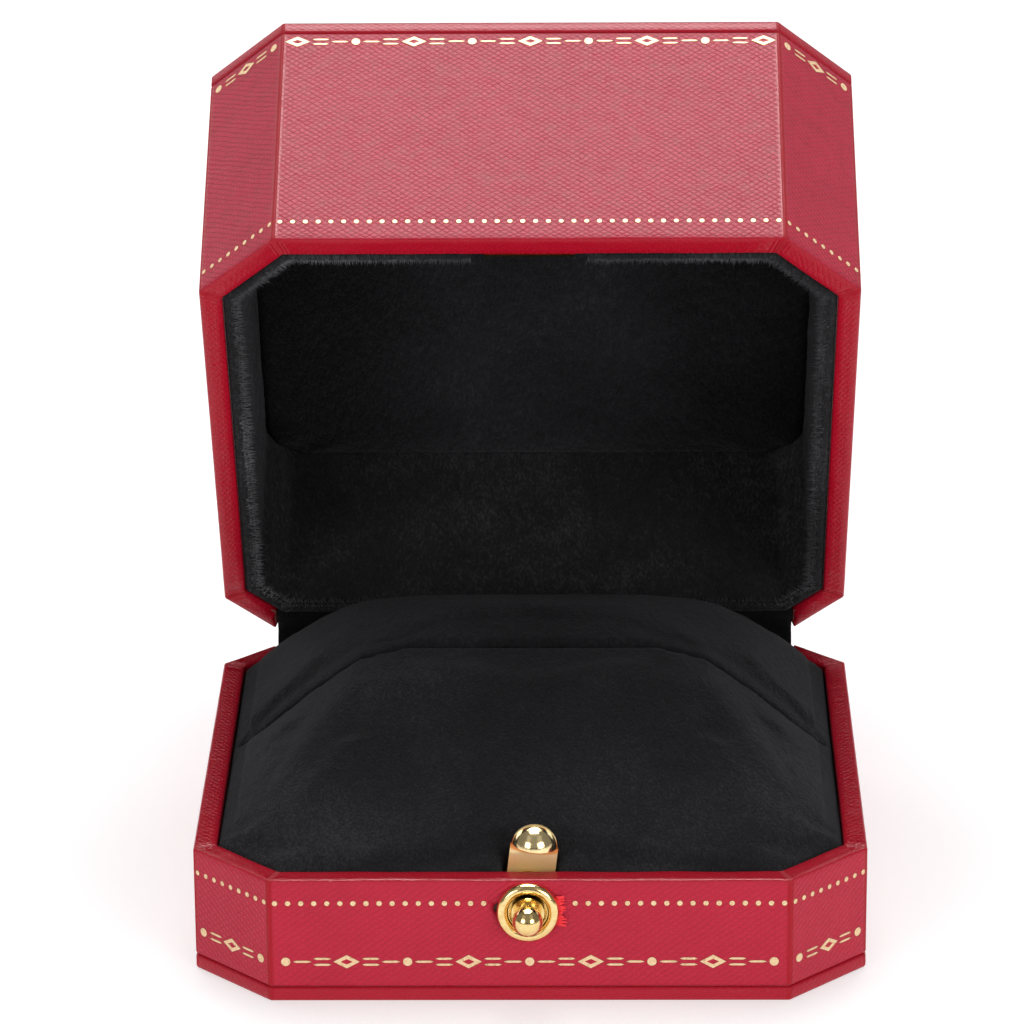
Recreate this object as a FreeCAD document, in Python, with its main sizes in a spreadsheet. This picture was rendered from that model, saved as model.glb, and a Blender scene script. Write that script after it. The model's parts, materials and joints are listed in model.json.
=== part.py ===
import FreeCAD, Part
import math
import os
import re
import Sketcher
from FreeCAD import Placement, Rotation, Vector

# Eight-sided ring box with a sprung lid and a push-button catch, in millimetres.
# Origin: centre of the base's underside. +X is to the right of someone facing the
# button, +Y runs from the button to the hinge, and +Z is up.
# Every lid piece is built in the closed position and then turned open about the hinge.

DIMENSIONS = {
    # the box
    "box_width": 88.0,
    "box_depth": 82.0,
    "front_corner": 10.3,
    "back_corner": 6.8,
    "corner_shrink": 2 - math.sqrt(2),
    "base_height": 17.2,
    "lid_height": 40.3,
    "wall": 3.0,
    "skin": 0.4,
    "board": 1.6,
    "edge_round": 0.35,
    "lid_turn_in": 10.0,
    "open_angle": 60.0,
    # the hinge
    "hinge_setback": 2.3,
    "rim_drop": 1.0,
    "notch_half": 36.9,
    "leaf_gauge": 0.5,
    "leaf_half": 30.0,
    "leaf_leg": 8.0,
    "leaf_offset": 0.5,
    "knuckle_radius": 1.3,
    "knuckle_room": 1.55,
    "knuckle_outer": 20.0,
    "knuckle_inner": 4.3,
    "lid_knuckle_outer": 19.8,
    "lid_knuckle_inner": 12.3,
    "spring_outer": 12.1,
    "spring_inner": 4.5,
    "spring_radius": 1.25,
    "spring_bore": 0.85,
    "pin_radius": 0.7,
    "pin_bore": 0.75,
    "pin_head_radius": 1.1,
    "pin_head": 0.4,
    "cloth_gauge": 0.3,
    "cloth_half": 36.4,
    "cloth_edge": 1.5,
    "spine_half": 36.0,
    "spine_inside": 1.75,
    "spine_outside": 2.15,
    "spine_start": 143.0,
    "spine_sweep": 218.0,
    "spine_tail": 8.0,
    "spine_tail_gauge": 0.8,
    "spine_tail_top": 1.1,
    "nail_spacing": 16.0,
    "nail_drop": 5.0,
    "nail_radius": 0.5,
    "nail_length": 1.9,
    "nail_head_radius": 1.1,
    "nail_head": 0.3,
    # the ring cushion
    "tray": 0.8,
    "tray_notch_depth": 2.0,
    "cushion_inset": 3.3,
    "cushion_rim_inset": 5.4,
    "cushion_shoulder": 16.7,
    "cushion_back_gap": 1.1,
    "cushion_front_gap": 0.3,
    "velvet": 1.0,
    "slot_from_middle": 3.0,
    "slot_gap": 0.8,
    "front_foot_height": 16.4,
    "front_lip_height": 32.7,
    "front_bulge_place": -4.0,
    "front_bulge_height": 31.2,
    "back_lip_height": 33.2,
    "crown_place": 13.0,
    "crown_height": 34.4,
    "crown_back_place": 22.0,
    "crown_back_height": 32.4,
    "back_shoulder_place": 29.0,
    "back_shoulder_height": 28.4,
    "back_slope_place": 34.5,
    "back_slope_height": 21.5,
    "side_wall_place": 41.0,
    "side_wall_height": 14.0,
    "side_foot_place": 38.4,
    "side_foot_height": 17.4,
    "side_knee_place": 31.0,
    "side_knee_height": 25.6,
    "side_shoulder_place": 24.0,
    "side_shoulder_height": 30.7,
    "side_top_place": 12.0,
    "side_top_height": 34.0,
    "side_middle_place": 4.0,
    "side_middle_height": 35.0,
    "notch_for_latch_half": 5.6,
    "notch_for_latch_depth": 5.4,
    # the lid's inside
    "lining_card": 0.6,
    "card_start": 0.9,
    "lining": 2.0,
    "lining_start": 0.3,
    "pad_gap": 0.2,
    "pad_depth": 10.8,
    "pad_velvet": 0.8,
    # the catch
    "clasp_shift": -0.2,
    "clasp_height": 12.9,
    "eyelet_ring": 3.3,
    "eyelet_roll": 0.75,
    "eyelet_proud": 0.6,
    "eyelet_tube": 2.85,
    "eyelet_bore": 2.5,
    "eyelet_clinch": 3.4,
    "clinch_gauge": 0.2,
    "washer_radius": 4.2,
    "washer_gauge": 0.3,
    "ball_radius": 2.0,
    "ball_reach": 3.35,
    "neck_radius": 1.3,
    "collar_radius": 2.12,
    "collar_reach": 0.9,
    "collar_length": 3.2,
    "stem_radius": 1.2,
    "flange_radius": 2.9,
    "flange_gauge": 0.4,
    "flange_setback": 3.5,
    "nub_radius": 2.0,
    "nub_setback": 4.4,
    "latch_shift": 0.3,
    "latch_lean": 7.0,
    "latch_width": 6.2,
    "latch_setback": 4.5,
    "latch_gauge": 0.5,
    "latch_top": 22.85,
    "tooth_radius": 2.95,
    "tooth_ledge": 20.1,
    "tooth_centre_depth": 0.45,
    "foot_bottom": 2.8,
    "foot_top": 4.6,
    "bend_height": 5.0,
    "bend_radius": 0.45,
    "bend_room": 0.5,
    "foot_nail_spacing": 3.6,
    "foot_nail_height": 3.7,
    "foot_nail_radius": 0.4,
    "foot_nail_head_radius": 0.75,
    "striker_half": 6.0,
    "striker_bottom": 17.3,
    "striker_top": 26.3,
    "striker_gauge": 0.5,
    "slot_left": -2.7,
    "slot_right": 4.4,
    "slot_bottom": 19.6,
    "slot_top": 23.6,
    "pocket_depth": 1.4,
    "pocket_room": 0.2,
    "striker_nail_spacing": 9.2,
    "striker_nail_height": 24.9,
    "lining_window_half": 7.6,
    "lining_window_top": 27.6,
}

RIM = "base_height"
LID_TOP = "(base_height + lid_height)"
BOARD_TOP = "(board + skin)"
LID_BOARD_BOTTOM = "(base_height + lid_height - board - skin)"
FRONT = "(-box_depth/2)"
BACK = "(box_depth/2)"
FRONT_INSIDE = "(wall - box_depth/2)"
BACK_INSIDE = "(box_depth/2 - wall)"
AXIS_Y = "(box_depth/2 + hinge_setback)"
AXIS_Z = "base_height"
CLASP = ("clasp_shift", FRONT, "clasp_height")
LATCH_FACE = "(latch_setback - box_depth/2)"

doc = FreeCAD.newDocument("ring_box")
sheet = doc.addObject("Spreadsheet::Sheet", "Sheet")


def fill_sheet():
    """Write each driving dimension into a row of the sheet, with its name as alias."""
    for row, (name, value) in enumerate(DIMENSIONS.items(), start=1):
        sheet.set(f"A{row}", name)
        sheet.set(f"B{row}", str(value))
        sheet.setAlias(f"B{row}", name)
    doc.recompute()


def with_cells(formula):
    """Turn the words of a formula into references to the sheet's cells."""
    return re.sub(r"[a-z][a-z_]*", lambda word: f"Sheet.{word.group()}", str(formula))


def bind(obj, prop, formula):
    obj.setExpression(prop, with_cells(formula))


def value_of(formula):
    return float(sheet.evalExpression(with_cells(formula)))


# ---------------------------------------------------------------- building blocks


def locate(obj, corner):
    """Bind an object's position to three formulas."""
    for axis, formula in zip("xyz", corner):
        bind(obj, f"Placement.Base.{axis}", formula)


def block(name, low, high):
    """Box between two corners, each given as three formulas."""
    obj = doc.addObject("Part::Box", name)
    for prop, start, end in zip(("Length", "Width", "Height"), low, high):
        bind(obj, prop, f"({end}) - ({start})")
    locate(obj, low)
    return obj


TURN_FROM_Z = {
    "X": Rotation(Vector(0, 1, 0), 90),
    "Y": Rotation(Vector(1, 0, 0), -90),
    "Z": Rotation(),
}


def rod(name, axis, start, length, radius):
    """Round bar from start along a positive axis."""
    obj = doc.addObject("Part::Cylinder", name)
    obj.Placement.Rotation = TURN_FROM_Z[axis]
    bind(obj, "Radius", radius)
    bind(obj, "Height", length)
    locate(obj, start)
    return obj


def ball(name, centre, radius):
    obj = doc.addObject("Part::Sphere", name)
    bind(obj, "Radius", radius)
    locate(obj, centre)
    return obj


def joined(name, *pieces):
    obj = doc.addObject("Part::MultiFuse", name)
    obj.Shapes = list(pieces)
    return obj


def without(name, piece, *tools):
    """The piece with each tool cut out of it."""
    obj = doc.addObject("Part::Cut", name)
    obj.Base = piece
    obj.Tool = tools[0] if len(tools) == 1 else joined(name + "_tools", *tools)
    return obj


def group(name, *pieces):
    """Separate solids that share one node."""
    obj = doc.addObject("Part::Compound", name)
    obj.Links = list(pieces)
    return obj


def moved(piece, suffix, placement):
    """The piece in its final place; the original stays where other pieces are cut by it."""
    name = piece.Label
    piece.Label = name + suffix
    copy = group(name + "_in_place", piece)
    copy.Label = name
    copy.Placement = placement
    return copy


def sketch_on(body, role, offset="0"):
    """Empty sketch on one of the body's own origin planes, moved along its normal."""
    plane = next(item for item in body.Origin.OriginFeatures if item.Role == role)
    sketch = body.newObject("Sketcher::SketchObject", body.Label + "_sketch")
    sketch.AttachmentSupport = [(plane, "")]
    sketch.MapMode = "FlatFace"
    bind(sketch, "AttachmentOffset.Base.z", offset)
    return sketch


def outline(sketch, corners):
    """Closed polygon whose corners are bound to pairs of formulas."""
    first = sketch.GeometryCount
    places = [Vector(value_of(x), value_of(y), 0) for x, y in corners]
    count = len(corners)
    for index, place in enumerate(places):
        sketch.addGeometry(Part.LineSegment(place, places[(index + 1) % count]))
    for index, (x, y) in enumerate(corners):
        line = first + index
        following = first + (index + 1) % count
        sketch.addConstraint(Sketcher.Constraint("Coincident", line, 2, following, 1))
        place = places[index]
        across = Sketcher.Constraint("DistanceX", -1, 1, line, 1, place.x)
        bind(sketch, f"Constraints[{sketch.addConstraint(across)}]", x)
        upwards = Sketcher.Constraint("DistanceY", -1, 1, line, 1, place.y)
        bind(sketch, f"Constraints[{sketch.addConstraint(upwards)}]", y)


def octagon(inset):
    """Corners of the box's outline, moved inwards."""
    half_x = f"(box_width/2 - ({inset}))"
    half_y = f"(box_depth/2 - ({inset}))"
    front = f"(front_corner - ({inset})*corner_shrink)"
    back = f"(back_corner - ({inset})*corner_shrink)"
    return [
        (f"{front} - {half_x}", f"-{half_y}"),
        (f"{half_x} - {front}", f"-{half_y}"),
        (half_x, f"{front} - {half_y}"),
        (half_x, f"{half_y} - {back}"),
        (f"{half_x} - {back}", half_y),
        (f"{back} - {half_x}", half_y),
        (f"-{half_x}", f"{half_y} - {back}"),
        (f"-{half_x}", f"{front} - {half_y}"),
    ]


def prism(name, insets, bottom, top):
    """Eight-sided body between two heights: solid with one inset, a ring with two."""
    body = doc.addObject("PartDesign::Body", name)
    sketch = sketch_on(body, "XY_Plane", bottom)
    for inset in insets:
        outline(sketch, octagon(inset))
    pad = body.newObject("PartDesign::Pad", name + "_pad")
    pad.Profile = sketch
    bind(pad, "Length", f"({top}) - ({bottom})")
    doc.recompute()
    return body


def round_edges(body, height):
    """Round the outer edges of a body that lie at one height."""
    level = value_of(height)
    base = body.Tip
    reach = value_of("box_width/2 - skin/2")
    depth = value_of("box_depth/2 - skin/2")
    corner_back = value_of("box_width/2 + box_depth/2 - back_corner - skin")
    corner_front = value_of("box_width/2 + box_depth/2 - front_corner - skin")
    names = []
    for number, edge in enumerate(base.Shape.Edges, start=1):
        flat = all(abs(vertex.Z - level) < 1e-6 for vertex in edge.Vertexes)
        middle = edge.valueAt((edge.FirstParameter + edge.LastParameter) / 2)
        outer = max(abs(middle.x) - reach, abs(middle.y) - depth) > 0
        outer = outer or abs(middle.x) + abs(middle.y) > corner_back
        outer = outer or (middle.y < 0 and abs(middle.x) - middle.y > corner_front)
        if flat and outer:
            names.append(f"Edge{number}")
    fillet = body.newObject("PartDesign::Fillet", body.Label + "_round")
    fillet.Base = (base, names)
    bind(fillet, "Radius", "edge_round")
    doc.recompute()
    return len(names)


# ---------------------------------------------------------------- walls and boards


def board_with_cover(prefix, inner_level, outer_level):
    """A wrapped panel: its greyboard core and the leatherette round its edges."""
    upwards = value_of(outer_level) > value_of(inner_level)
    core_low = inner_level if upwards else f"({outer_level}) + skin"
    core_high = f"({outer_level}) - skin" if upwards else inner_level
    low, high = (inner_level, outer_level) if upwards else (outer_level, inner_level)
    core = prism(prefix + "_board", ["skin"], core_low, core_high)
    envelope = prism(prefix + "_board_envelope", ["0"], low, high)
    rounded = round_edges(envelope, low) + round_edges(envelope, high)
    if rounded != 16:
        raise RuntimeError(f"{prefix} board: rounded {rounded} edges")
    cover = without(prefix + "_board_cover", envelope, core)
    return core, cover


def back_notch(name, low, high):
    """Block that lowers the back wall's rim, to leave room for the hinge."""
    return block(
        name,
        ("-notch_half", f"{BACK_INSIDE} - velvet", low),
        ("notch_half", f"{BACK} + velvet", high),
    )


def base_walls(hinge_nails, foot_nails):
    hole = rod("button_hole", "Y", CLASP, "wall", "eyelet_tube")
    frame_ring = prism(
        "base_frame_ring", ["skin", "wall - skin"], BOARD_TOP, f"{RIM} - skin")
    frame_notch = back_notch("base_frame_notch", f"{RIM} - rim_drop - skin", RIM)
    frame_blank = without("base_frame_blank", frame_ring, frame_notch)
    frame = without("base_frame", frame_blank, hole, hinge_nails, foot_nails)
    wrap_ring = prism("base_wrap_ring", ["0", "wall"], BOARD_TOP, RIM)
    wrap_notch = back_notch("base_wrap_notch", f"{RIM} - rim_drop", f"{RIM} + skin")
    wrap = without(
        "base_wrap", wrap_ring, wrap_notch, frame_blank, hole, hinge_nails, foot_nails)
    return frame, wrap


def lid_walls(hinge_nails, striker_nails):
    frame_ring = prism(
        "lid_frame_ring", ["skin", "wall - skin"], f"{RIM} + skin", LID_BOARD_BOTTOM)
    frame_notch = back_notch("lid_frame_notch", RIM, f"{RIM} + rim_drop + skin")
    frame_blank = without("lid_frame_blank", frame_ring, frame_notch)
    pocket = block(
        "tooth_pocket",
        ("slot_left - pocket_room", f"{FRONT_INSIDE} - pocket_depth", "slot_bottom - pocket_room"),
        ("slot_right + pocket_room", f"{FRONT_INSIDE}", "slot_top + pocket_room"),
    )
    frame = without("lid_frame", frame_blank, pocket, hinge_nails, striker_nails)
    wrap_ring = prism("lid_wrap_ring", ["0", "wall"], RIM, LID_BOARD_BOTTOM)
    wrap_notch = back_notch("lid_wrap_notch", f"{RIM} - skin", f"{RIM} + rim_drop")
    above_turn_in = prism(
        "above_turn_in", ["wall - skin"], f"{RIM} + lid_turn_in", LID_BOARD_BOTTOM)
    wrap = without(
        "lid_wrap", wrap_ring, wrap_notch, frame_blank, above_turn_in, pocket,
        hinge_nails, striker_nails)
    return frame, wrap


# ---------------------------------------------------------------- hinge


def nail(name, x, y, z, towards, radius, head_radius):
    """One nail along Y, its head inside the box; towards is '-' or '+' for its point."""
    if towards == "+":
        shank = rod(name + "_shank", "Y", (x, y, z), "nail_length + leaf_gauge", radius)
        head = rod(name + "_head", "Y", (x, f"({y}) - nail_head", z), "nail_head", head_radius)
    else:
        start = f"({y}) - nail_length - leaf_gauge"
        shank = rod(name + "_shank", "Y", (x, start, z), "nail_length + leaf_gauge", radius)
        head = rod(name + "_head", "Y", (x, y, z), "nail_head", head_radius)
    return joined(name, shank, head)


def hinge_nails(name, height):
    """Four nails through a leaf's leg into the back wall."""
    face = f"{BACK_INSIDE} - leaf_gauge"
    nails = []
    for place in (-1.5, -0.5, 0.5, 1.5):
        label = f"{name}_{len(nails) + 1}"
        x = f"({place}*nail_spacing)"
        nails.append(nail(label, x, face, height, "+", "nail_radius", "nail_head_radius"))
    return group(name, *nails)


def knuckle(name, start, end):
    return rod(name, "X", (start, AXIS_Y, AXIS_Z), f"({end}) - ({start})", "knuckle_radius")


def knuckle_gap(name, start, end):
    return rod(name, "X", (start, AXIS_Y, AXIS_Z), f"({end}) - ({start})", "knuckle_room")


def hinge_leaf(name, flange_low, leg_low, leg_high, knuckles, gaps, nails):
    """L-shaped leaf: a flange over the rim, a leg down the inside, and its knuckles."""
    flange = block(
        name + "_flange",
        ("-leaf_half", f"{BACK_INSIDE} - leaf_gauge", flange_low),
        ("leaf_half", AXIS_Y, f"({flange_low}) + leaf_gauge"),
    )
    leg = block(
        name + "_leg",
        ("-leaf_half", f"{BACK_INSIDE} - leaf_gauge", leg_low),
        ("leaf_half", BACK_INSIDE, leg_high),
    )
    bore = rod(
        name + "_bore", "X", ("-2*leaf_half", AXIS_Y, AXIS_Z), "4*leaf_half", "pin_bore")
    plate = without(name + "_plate", joined(name + "_blank", flange, leg), *gaps)
    with_knuckles = joined(name + "_knuckled", plate, *knuckles)
    return without(name, with_knuckles, bore, nails)


def base_leaf(nails):
    knuckles = [
        knuckle("base_knuckle_left", "-leaf_half", "-knuckle_outer"),
        knuckle("base_knuckle_middle", "-knuckle_inner", "knuckle_inner"),
        knuckle("base_knuckle_right", "knuckle_outer", "leaf_half"),
    ]
    gaps = [
        knuckle_gap("base_gap_left", "-knuckle_outer", "-knuckle_inner"),
        knuckle_gap("base_gap_right", "knuckle_inner", "knuckle_outer"),
    ]
    flange_low = f"{RIM} - leaf_offset - leaf_gauge"
    leg_high = f"{RIM} - leaf_offset"
    return hinge_leaf(
        "hinge_leaf_base", flange_low, f"{leg_high} - leaf_leg", leg_high,
        knuckles, gaps, nails)


def lid_leaf(nails):
    knuckles = [
        knuckle("lid_knuckle_left", "-lid_knuckle_outer", "-lid_knuckle_inner"),
        knuckle("lid_knuckle_right", "lid_knuckle_inner", "lid_knuckle_outer"),
    ]
    gaps = [
        knuckle_gap("lid_gap_left", "-leaf_half - pin_head", "-lid_knuckle_outer"),
        knuckle_gap("lid_gap_middle", "-lid_knuckle_inner", "lid_knuckle_inner"),
        knuckle_gap("lid_gap_right", "lid_knuckle_outer", "leaf_half + pin_head"),
    ]
    leg_low = f"{RIM} + leaf_offset"
    return hinge_leaf(
        "hinge_leaf_lid", leg_low, leg_low, f"{leg_low} + leaf_leg", knuckles, gaps, nails)


def hinge_pin():
    """The pin, with a peened head at each end of the barrel."""
    shaft = rod("pin_shaft", "X", ("-leaf_half", AXIS_Y, AXIS_Z), "2*leaf_half", "pin_radius")
    left = rod(
        "pin_head_left", "X", ("-leaf_half - pin_head", AXIS_Y, AXIS_Z), "pin_head",
        "pin_head_radius")
    right = rod(
        "pin_head_right", "X", ("leaf_half", AXIS_Y, AXIS_Z), "pin_head", "pin_head_radius")
    return joined("hinge_pin", shaft, left, right)


def hinge_springs():
    """Two close-wound torsion springs on the pin, drawn as plain sleeves."""
    sleeves = []
    length = "spring_outer - spring_inner"
    for side, start in (("left", "-spring_outer"), ("right", "spring_inner")):
        place = (start, AXIS_Y, AXIS_Z)
        coil = rod(f"spring_{side}_coil", "X", place, length, "spring_radius")
        inside = rod(f"spring_{side}_bore", "X", place, length, "spring_bore")
        sleeves.append(without(f"spring_{side}", coil, inside))
    return group("hinge_springs", *sleeves)


def hinge_cloth(name, low, high):
    """Flat part of the velvet strip over one flange, up to the barrel."""
    return block(
        name,
        ("-cloth_half", BACK_INSIDE, low),
        ("cloth_half", f"{AXIS_Y} - cloth_edge", high),
    )


def spine_cover():
    """Leatherette sleeve round the barrel's back, with a tail down the base's wall."""
    length = "2*spine_half"
    start = ("-spine_half", AXIS_Y, AXIS_Z)
    outside = rod("spine_outside_rod", "X", start, length, "spine_outside")
    inside = rod("spine_inside_rod", "X", start, length, "spine_inside")
    for sector in (outside, inside):
        bind(sector, "Angle", "spine_sweep")
    # The sector of a bar laid along +X starts downwards and turns towards the back.
    first = value_of("90 - spine_start")
    turned = Rotation(Vector(1, 0, 0), first) * TURN_FROM_Z["X"]
    outside.Placement.Rotation = turned
    inside.Placement.Rotation = turned
    sleeve = without("spine_sleeve", outside, inside)
    tail = block(
        "spine_tail_strip",
        ("-spine_half", BACK, f"{AXIS_Z} - spine_tail"),
        ("spine_half", f"{BACK} + spine_tail_gauge", f"{AXIS_Z} - spine_tail_top"),
    )
    return joined("spine_cover", sleeve, tail)


# ---------------------------------------------------------------- soft pieces


def cushion_envelope(name, shrink):
    """Plan of the whole cushion: a lower block, and the crown that fits inside the lid."""
    floor = f"{BOARD_TOP} + tray"
    lower = prism(
        name + "_lower", [f"cushion_inset + {shrink}"], floor, f"cushion_shoulder - {shrink}")
    crown = prism(
        name + "_crown", [f"cushion_rim_inset + {shrink}"], floor, "side_middle_height")
    return joined(name, lower, crown)


def profile_body(name, role, corners, half_length):
    """Prism of a side or front view, laid symmetrically across the box."""
    body = doc.addObject("PartDesign::Body", name)
    sketch = sketch_on(body, role)
    outline(sketch, corners)
    pad = body.newObject("PartDesign::Pad", name + "_pad")
    pad.Profile = sketch
    pad.Midplane = True
    bind(pad, "Length", f"2*({half_length})")
    doc.recompute()
    return body


def front_side_view(shrink):
    """Side view of the front half: one long slope up to the ring slot."""
    floor = f"{BOARD_TOP} + tray"
    near = f"{FRONT_INSIDE} + cushion_front_gap + {shrink}"
    return [
        (near, floor),
        (f"slot_from_middle - {shrink}", floor),
        (f"slot_from_middle - {shrink}", f"front_lip_height - {shrink}"),
        (f"front_bulge_place - {shrink}", f"front_bulge_height - {shrink}"),
        (near, f"front_foot_height - {shrink}"),
    ]


def back_side_view(shrink):
    """Side view of the back half: a crown behind the slot, then a steep drop."""
    floor = f"{BOARD_TOP} + tray"
    near = f"slot_from_middle + slot_gap + {shrink}"
    far = f"{BACK_INSIDE} - cushion_back_gap - {shrink}"
    return [
        (near, floor),
        (far, floor),
        (far, f"cushion_shoulder - {shrink}"),
        (f"back_slope_place - {shrink}", f"back_slope_height - {shrink}"),
        (f"back_shoulder_place - {shrink}", f"back_shoulder_height - {shrink}"),
        (f"crown_back_place - {shrink}", f"crown_back_height - {shrink}"),
        ("crown_place", f"crown_height - {shrink}"),
        (near, f"back_lip_height - {shrink}"),
    ]


def cushion_front_view(shrink):
    """Front view of both halves: flat foot, sloping sides, domed top."""
    floor = f"{BOARD_TOP} + tray"
    stations = ("wall", "foot", "knee", "shoulder", "top", "middle")
    side = [(f"side_{each}_place - {shrink}", f"side_{each}_height - {shrink}")
            for each in stations]
    right = [(f"side_wall_place - {shrink}", floor)] + side
    left = [(f"-({x})", z) for x, z in reversed(right)]
    return right + left


def cushion_half(name, front, shrink):
    """One half of the ring cushion, its faces drawn in by shrink (a formula)."""
    corners = front_side_view(shrink) if front else back_side_view(shrink)
    side_view = profile_body(name + "_side_view", "YZ_Plane", corners, "box_width/2")
    front_view = profile_body(
        name + "_front_view", "XZ_Plane", cushion_front_view(shrink), "box_depth/2")
    envelope = cushion_envelope(name + "_envelope", shrink)
    shape = doc.addObject("Part::MultiCommon", name + "_crossing" if front else name)
    shape.Shapes = [side_view, front_view, envelope]
    if not front:
        return shape
    notch_end = f"{FRONT_INSIDE} + notch_for_latch_depth + {shrink}"
    notch = block(
        name + "_notch",
        (f"-notch_for_latch_half - {shrink}", FRONT, BOARD_TOP),
        (f"notch_for_latch_half + {shrink}", notch_end, "side_middle_height"),
    )
    return without(name, shape, notch)


def cushion():
    """Card tray, two foam blocks, and the velvet over each."""
    board = prism("tray_board", ["cushion_inset"], BOARD_TOP, f"{BOARD_TOP} + tray")
    foot_room = block(
        "tray_notch",
        ("-notch_for_latch_half", f"{FRONT}", BOARD_TOP),
        ("notch_for_latch_half", f"{FRONT_INSIDE} + tray_notch_depth", f"{BOARD_TOP} + 2*tray"),
    )
    back_room = block(
        "tray_back_notch",
        ("-box_width/2", f"{BACK_INSIDE} - cushion_back_gap", BOARD_TOP),
        ("box_width/2", BACK, f"{BOARD_TOP} + 2*tray"),
    )
    nodes = [without("cushion_tray", board, foot_room, back_room)]
    for place, front in (("front", True), ("back", False)):
        foam = cushion_half(f"cushion_foam_{place}", front, "velvet")
        outer = cushion_half(f"covered_{place}", front, "0")
        nodes += [foam, without(f"cushion_velvet_{place}", outer, foam)]
    return nodes


def lid_lining(window, leaf_room):
    card_ring = prism(
        "lining_card_ring", ["wall", "wall + lining_card"], f"{RIM} + card_start",
        LID_BOARD_BOTTOM)
    card = without("lid_lining_card", card_ring, window, leaf_room)
    plush_ring = prism(
        "lining_velvet_ring", ["wall", "wall + lining"], f"{RIM} + lining_start",
        LID_BOARD_BOTTOM)
    plush = without("lid_lining_velvet", plush_ring, card_ring, window, leaf_room)
    return [card, plush]


def lid_pad():
    inset = "wall + lining + pad_gap"
    pad_low = f"{LID_BOARD_BOTTOM} - pad_depth"
    foam = prism(
        "lid_pad_foam", [f"{inset} + pad_velvet"], f"{pad_low} + pad_velvet", LID_BOARD_BOTTOM)
    envelope = prism("lid_pad_envelope", [inset], pad_low, LID_BOARD_BOTTOM)
    return [foam, without("lid_pad_velvet", envelope, foam)]


# ---------------------------------------------------------------- catch


def clasp_point(depth):
    """Point on the button's axis, depth behind the box's front face."""
    return ("clasp_shift", f"{FRONT} + ({depth})", "clasp_height")


def eyelet():
    """Rolled rim outside, tube through the wall, clinched lip inside."""
    roll = doc.addObject("Part::Torus", "eyelet_rolled_rim")
    roll.Placement.Rotation = TURN_FROM_Z["Y"]
    bind(roll, "Radius1", "eyelet_ring")
    bind(roll, "Radius2", "eyelet_roll")
    locate(roll, clasp_point("-eyelet_proud"))
    behind = rod("eyelet_behind_face", "Y", clasp_point("0"), "wall", "2*eyelet_ring")
    rim = without("eyelet_rim", roll, behind)
    tube = rod(
        "eyelet_tube_rod", "Y", clasp_point("-eyelet_proud"),
        "eyelet_proud + wall + washer_gauge", "eyelet_tube")
    lip = rod(
        "eyelet_lip", "Y", clasp_point("wall + washer_gauge"), "clinch_gauge",
        "eyelet_clinch")
    bore = rod(
        "eyelet_bore_rod", "Y", clasp_point("-2*eyelet_proud"), "3*wall", "eyelet_bore")
    return without("eyelet", joined("eyelet_blank", rim, tube, lip), bore)


def eyelet_washer():
    disc = rod("washer_disc", "Y", clasp_point("wall"), "washer_gauge", "washer_radius")
    hole = rod("washer_hole", "Y", clasp_point("wall"), "washer_gauge", "eyelet_tube")
    return without("eyelet_washer", disc, hole)


def push_button():
    """Ball on a neck, a collar that shows in the eyelet, a stem, a stop flange and a nub."""
    head = ball("button_ball", clasp_point("-ball_reach"), "ball_radius")
    neck = rod(
        "button_neck", "Y", clasp_point("-ball_reach"), "ball_reach - collar_reach + skin",
        "neck_radius")
    collar = rod(
        "button_collar", "Y", clasp_point("-collar_reach"), "collar_length", "collar_radius")
    stem = rod(
        "button_stem", "Y", clasp_point("-collar_reach"),
        "collar_reach + flange_setback + skin/4", "stem_radius")
    flange = rod(
        "button_flange", "Y", clasp_point("flange_setback"), "flange_gauge", "flange_radius")
    nub_ball = ball("button_nub_ball", clasp_point("nub_setback - nub_radius"), "nub_radius")
    nub_end = rod(
        "button_nub_end", "Y", clasp_point("flange_setback"), "nub_setback", "stem_radius")
    nub = doc.addObject("Part::MultiCommon", "button_nub")
    nub.Shapes = [nub_ball, nub_end]
    return joined("push_button", head, neck, collar, stem, flange, nub)


def latch_block(name, low, high):
    """Block in the latch strip's own upright frame; x is counted from its middle."""
    return block(
        name,
        (f"latch_shift + ({low[0]})", low[1], low[2]),
        (f"latch_shift + ({high[0]})", high[1], high[2]),
    )


def latch_bend(name, radius):
    start = ("latch_shift - latch_width/2", f"{LATCH_FACE} + latch_gauge/2", "bend_height")
    return rod(name, "X", start, "latch_width", radius)


def latch_foot_nails():
    """Two nails through the latch strip's foot into the front wall."""
    nails = []
    for side, sign in (("left", "-"), ("right", "+")):
        x = f"(latch_shift {sign} foot_nail_spacing/2)"
        nails.append(nail(
            f"foot_nail_{side}", x, f"{FRONT_INSIDE} + latch_gauge", "foot_nail_height", "-",
            "foot_nail_radius", "foot_nail_head_radius"))
    return group("latch_foot_nails", *nails)


def latch_foot(nails):
    """Fixed end of the strip: flat on the wall, then out to the line where it bends."""
    plate = latch_block(
        "latch_foot_plate",
        ("-latch_width/2", FRONT_INSIDE, "foot_bottom"),
        ("latch_width/2", f"{FRONT_INSIDE} + latch_gauge", "foot_top + latch_gauge"),
    )
    shelf = latch_block(
        "latch_foot_shelf",
        ("-latch_width/2", FRONT_INSIDE, "foot_top"),
        ("latch_width/2", f"{LATCH_FACE} + latch_gauge/2", "foot_top + latch_gauge"),
    )
    nose = latch_bend("latch_foot_nose", "bend_radius")
    return without("latch_foot", joined("latch_foot_blank", plate, shelf, nose), nails)


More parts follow.
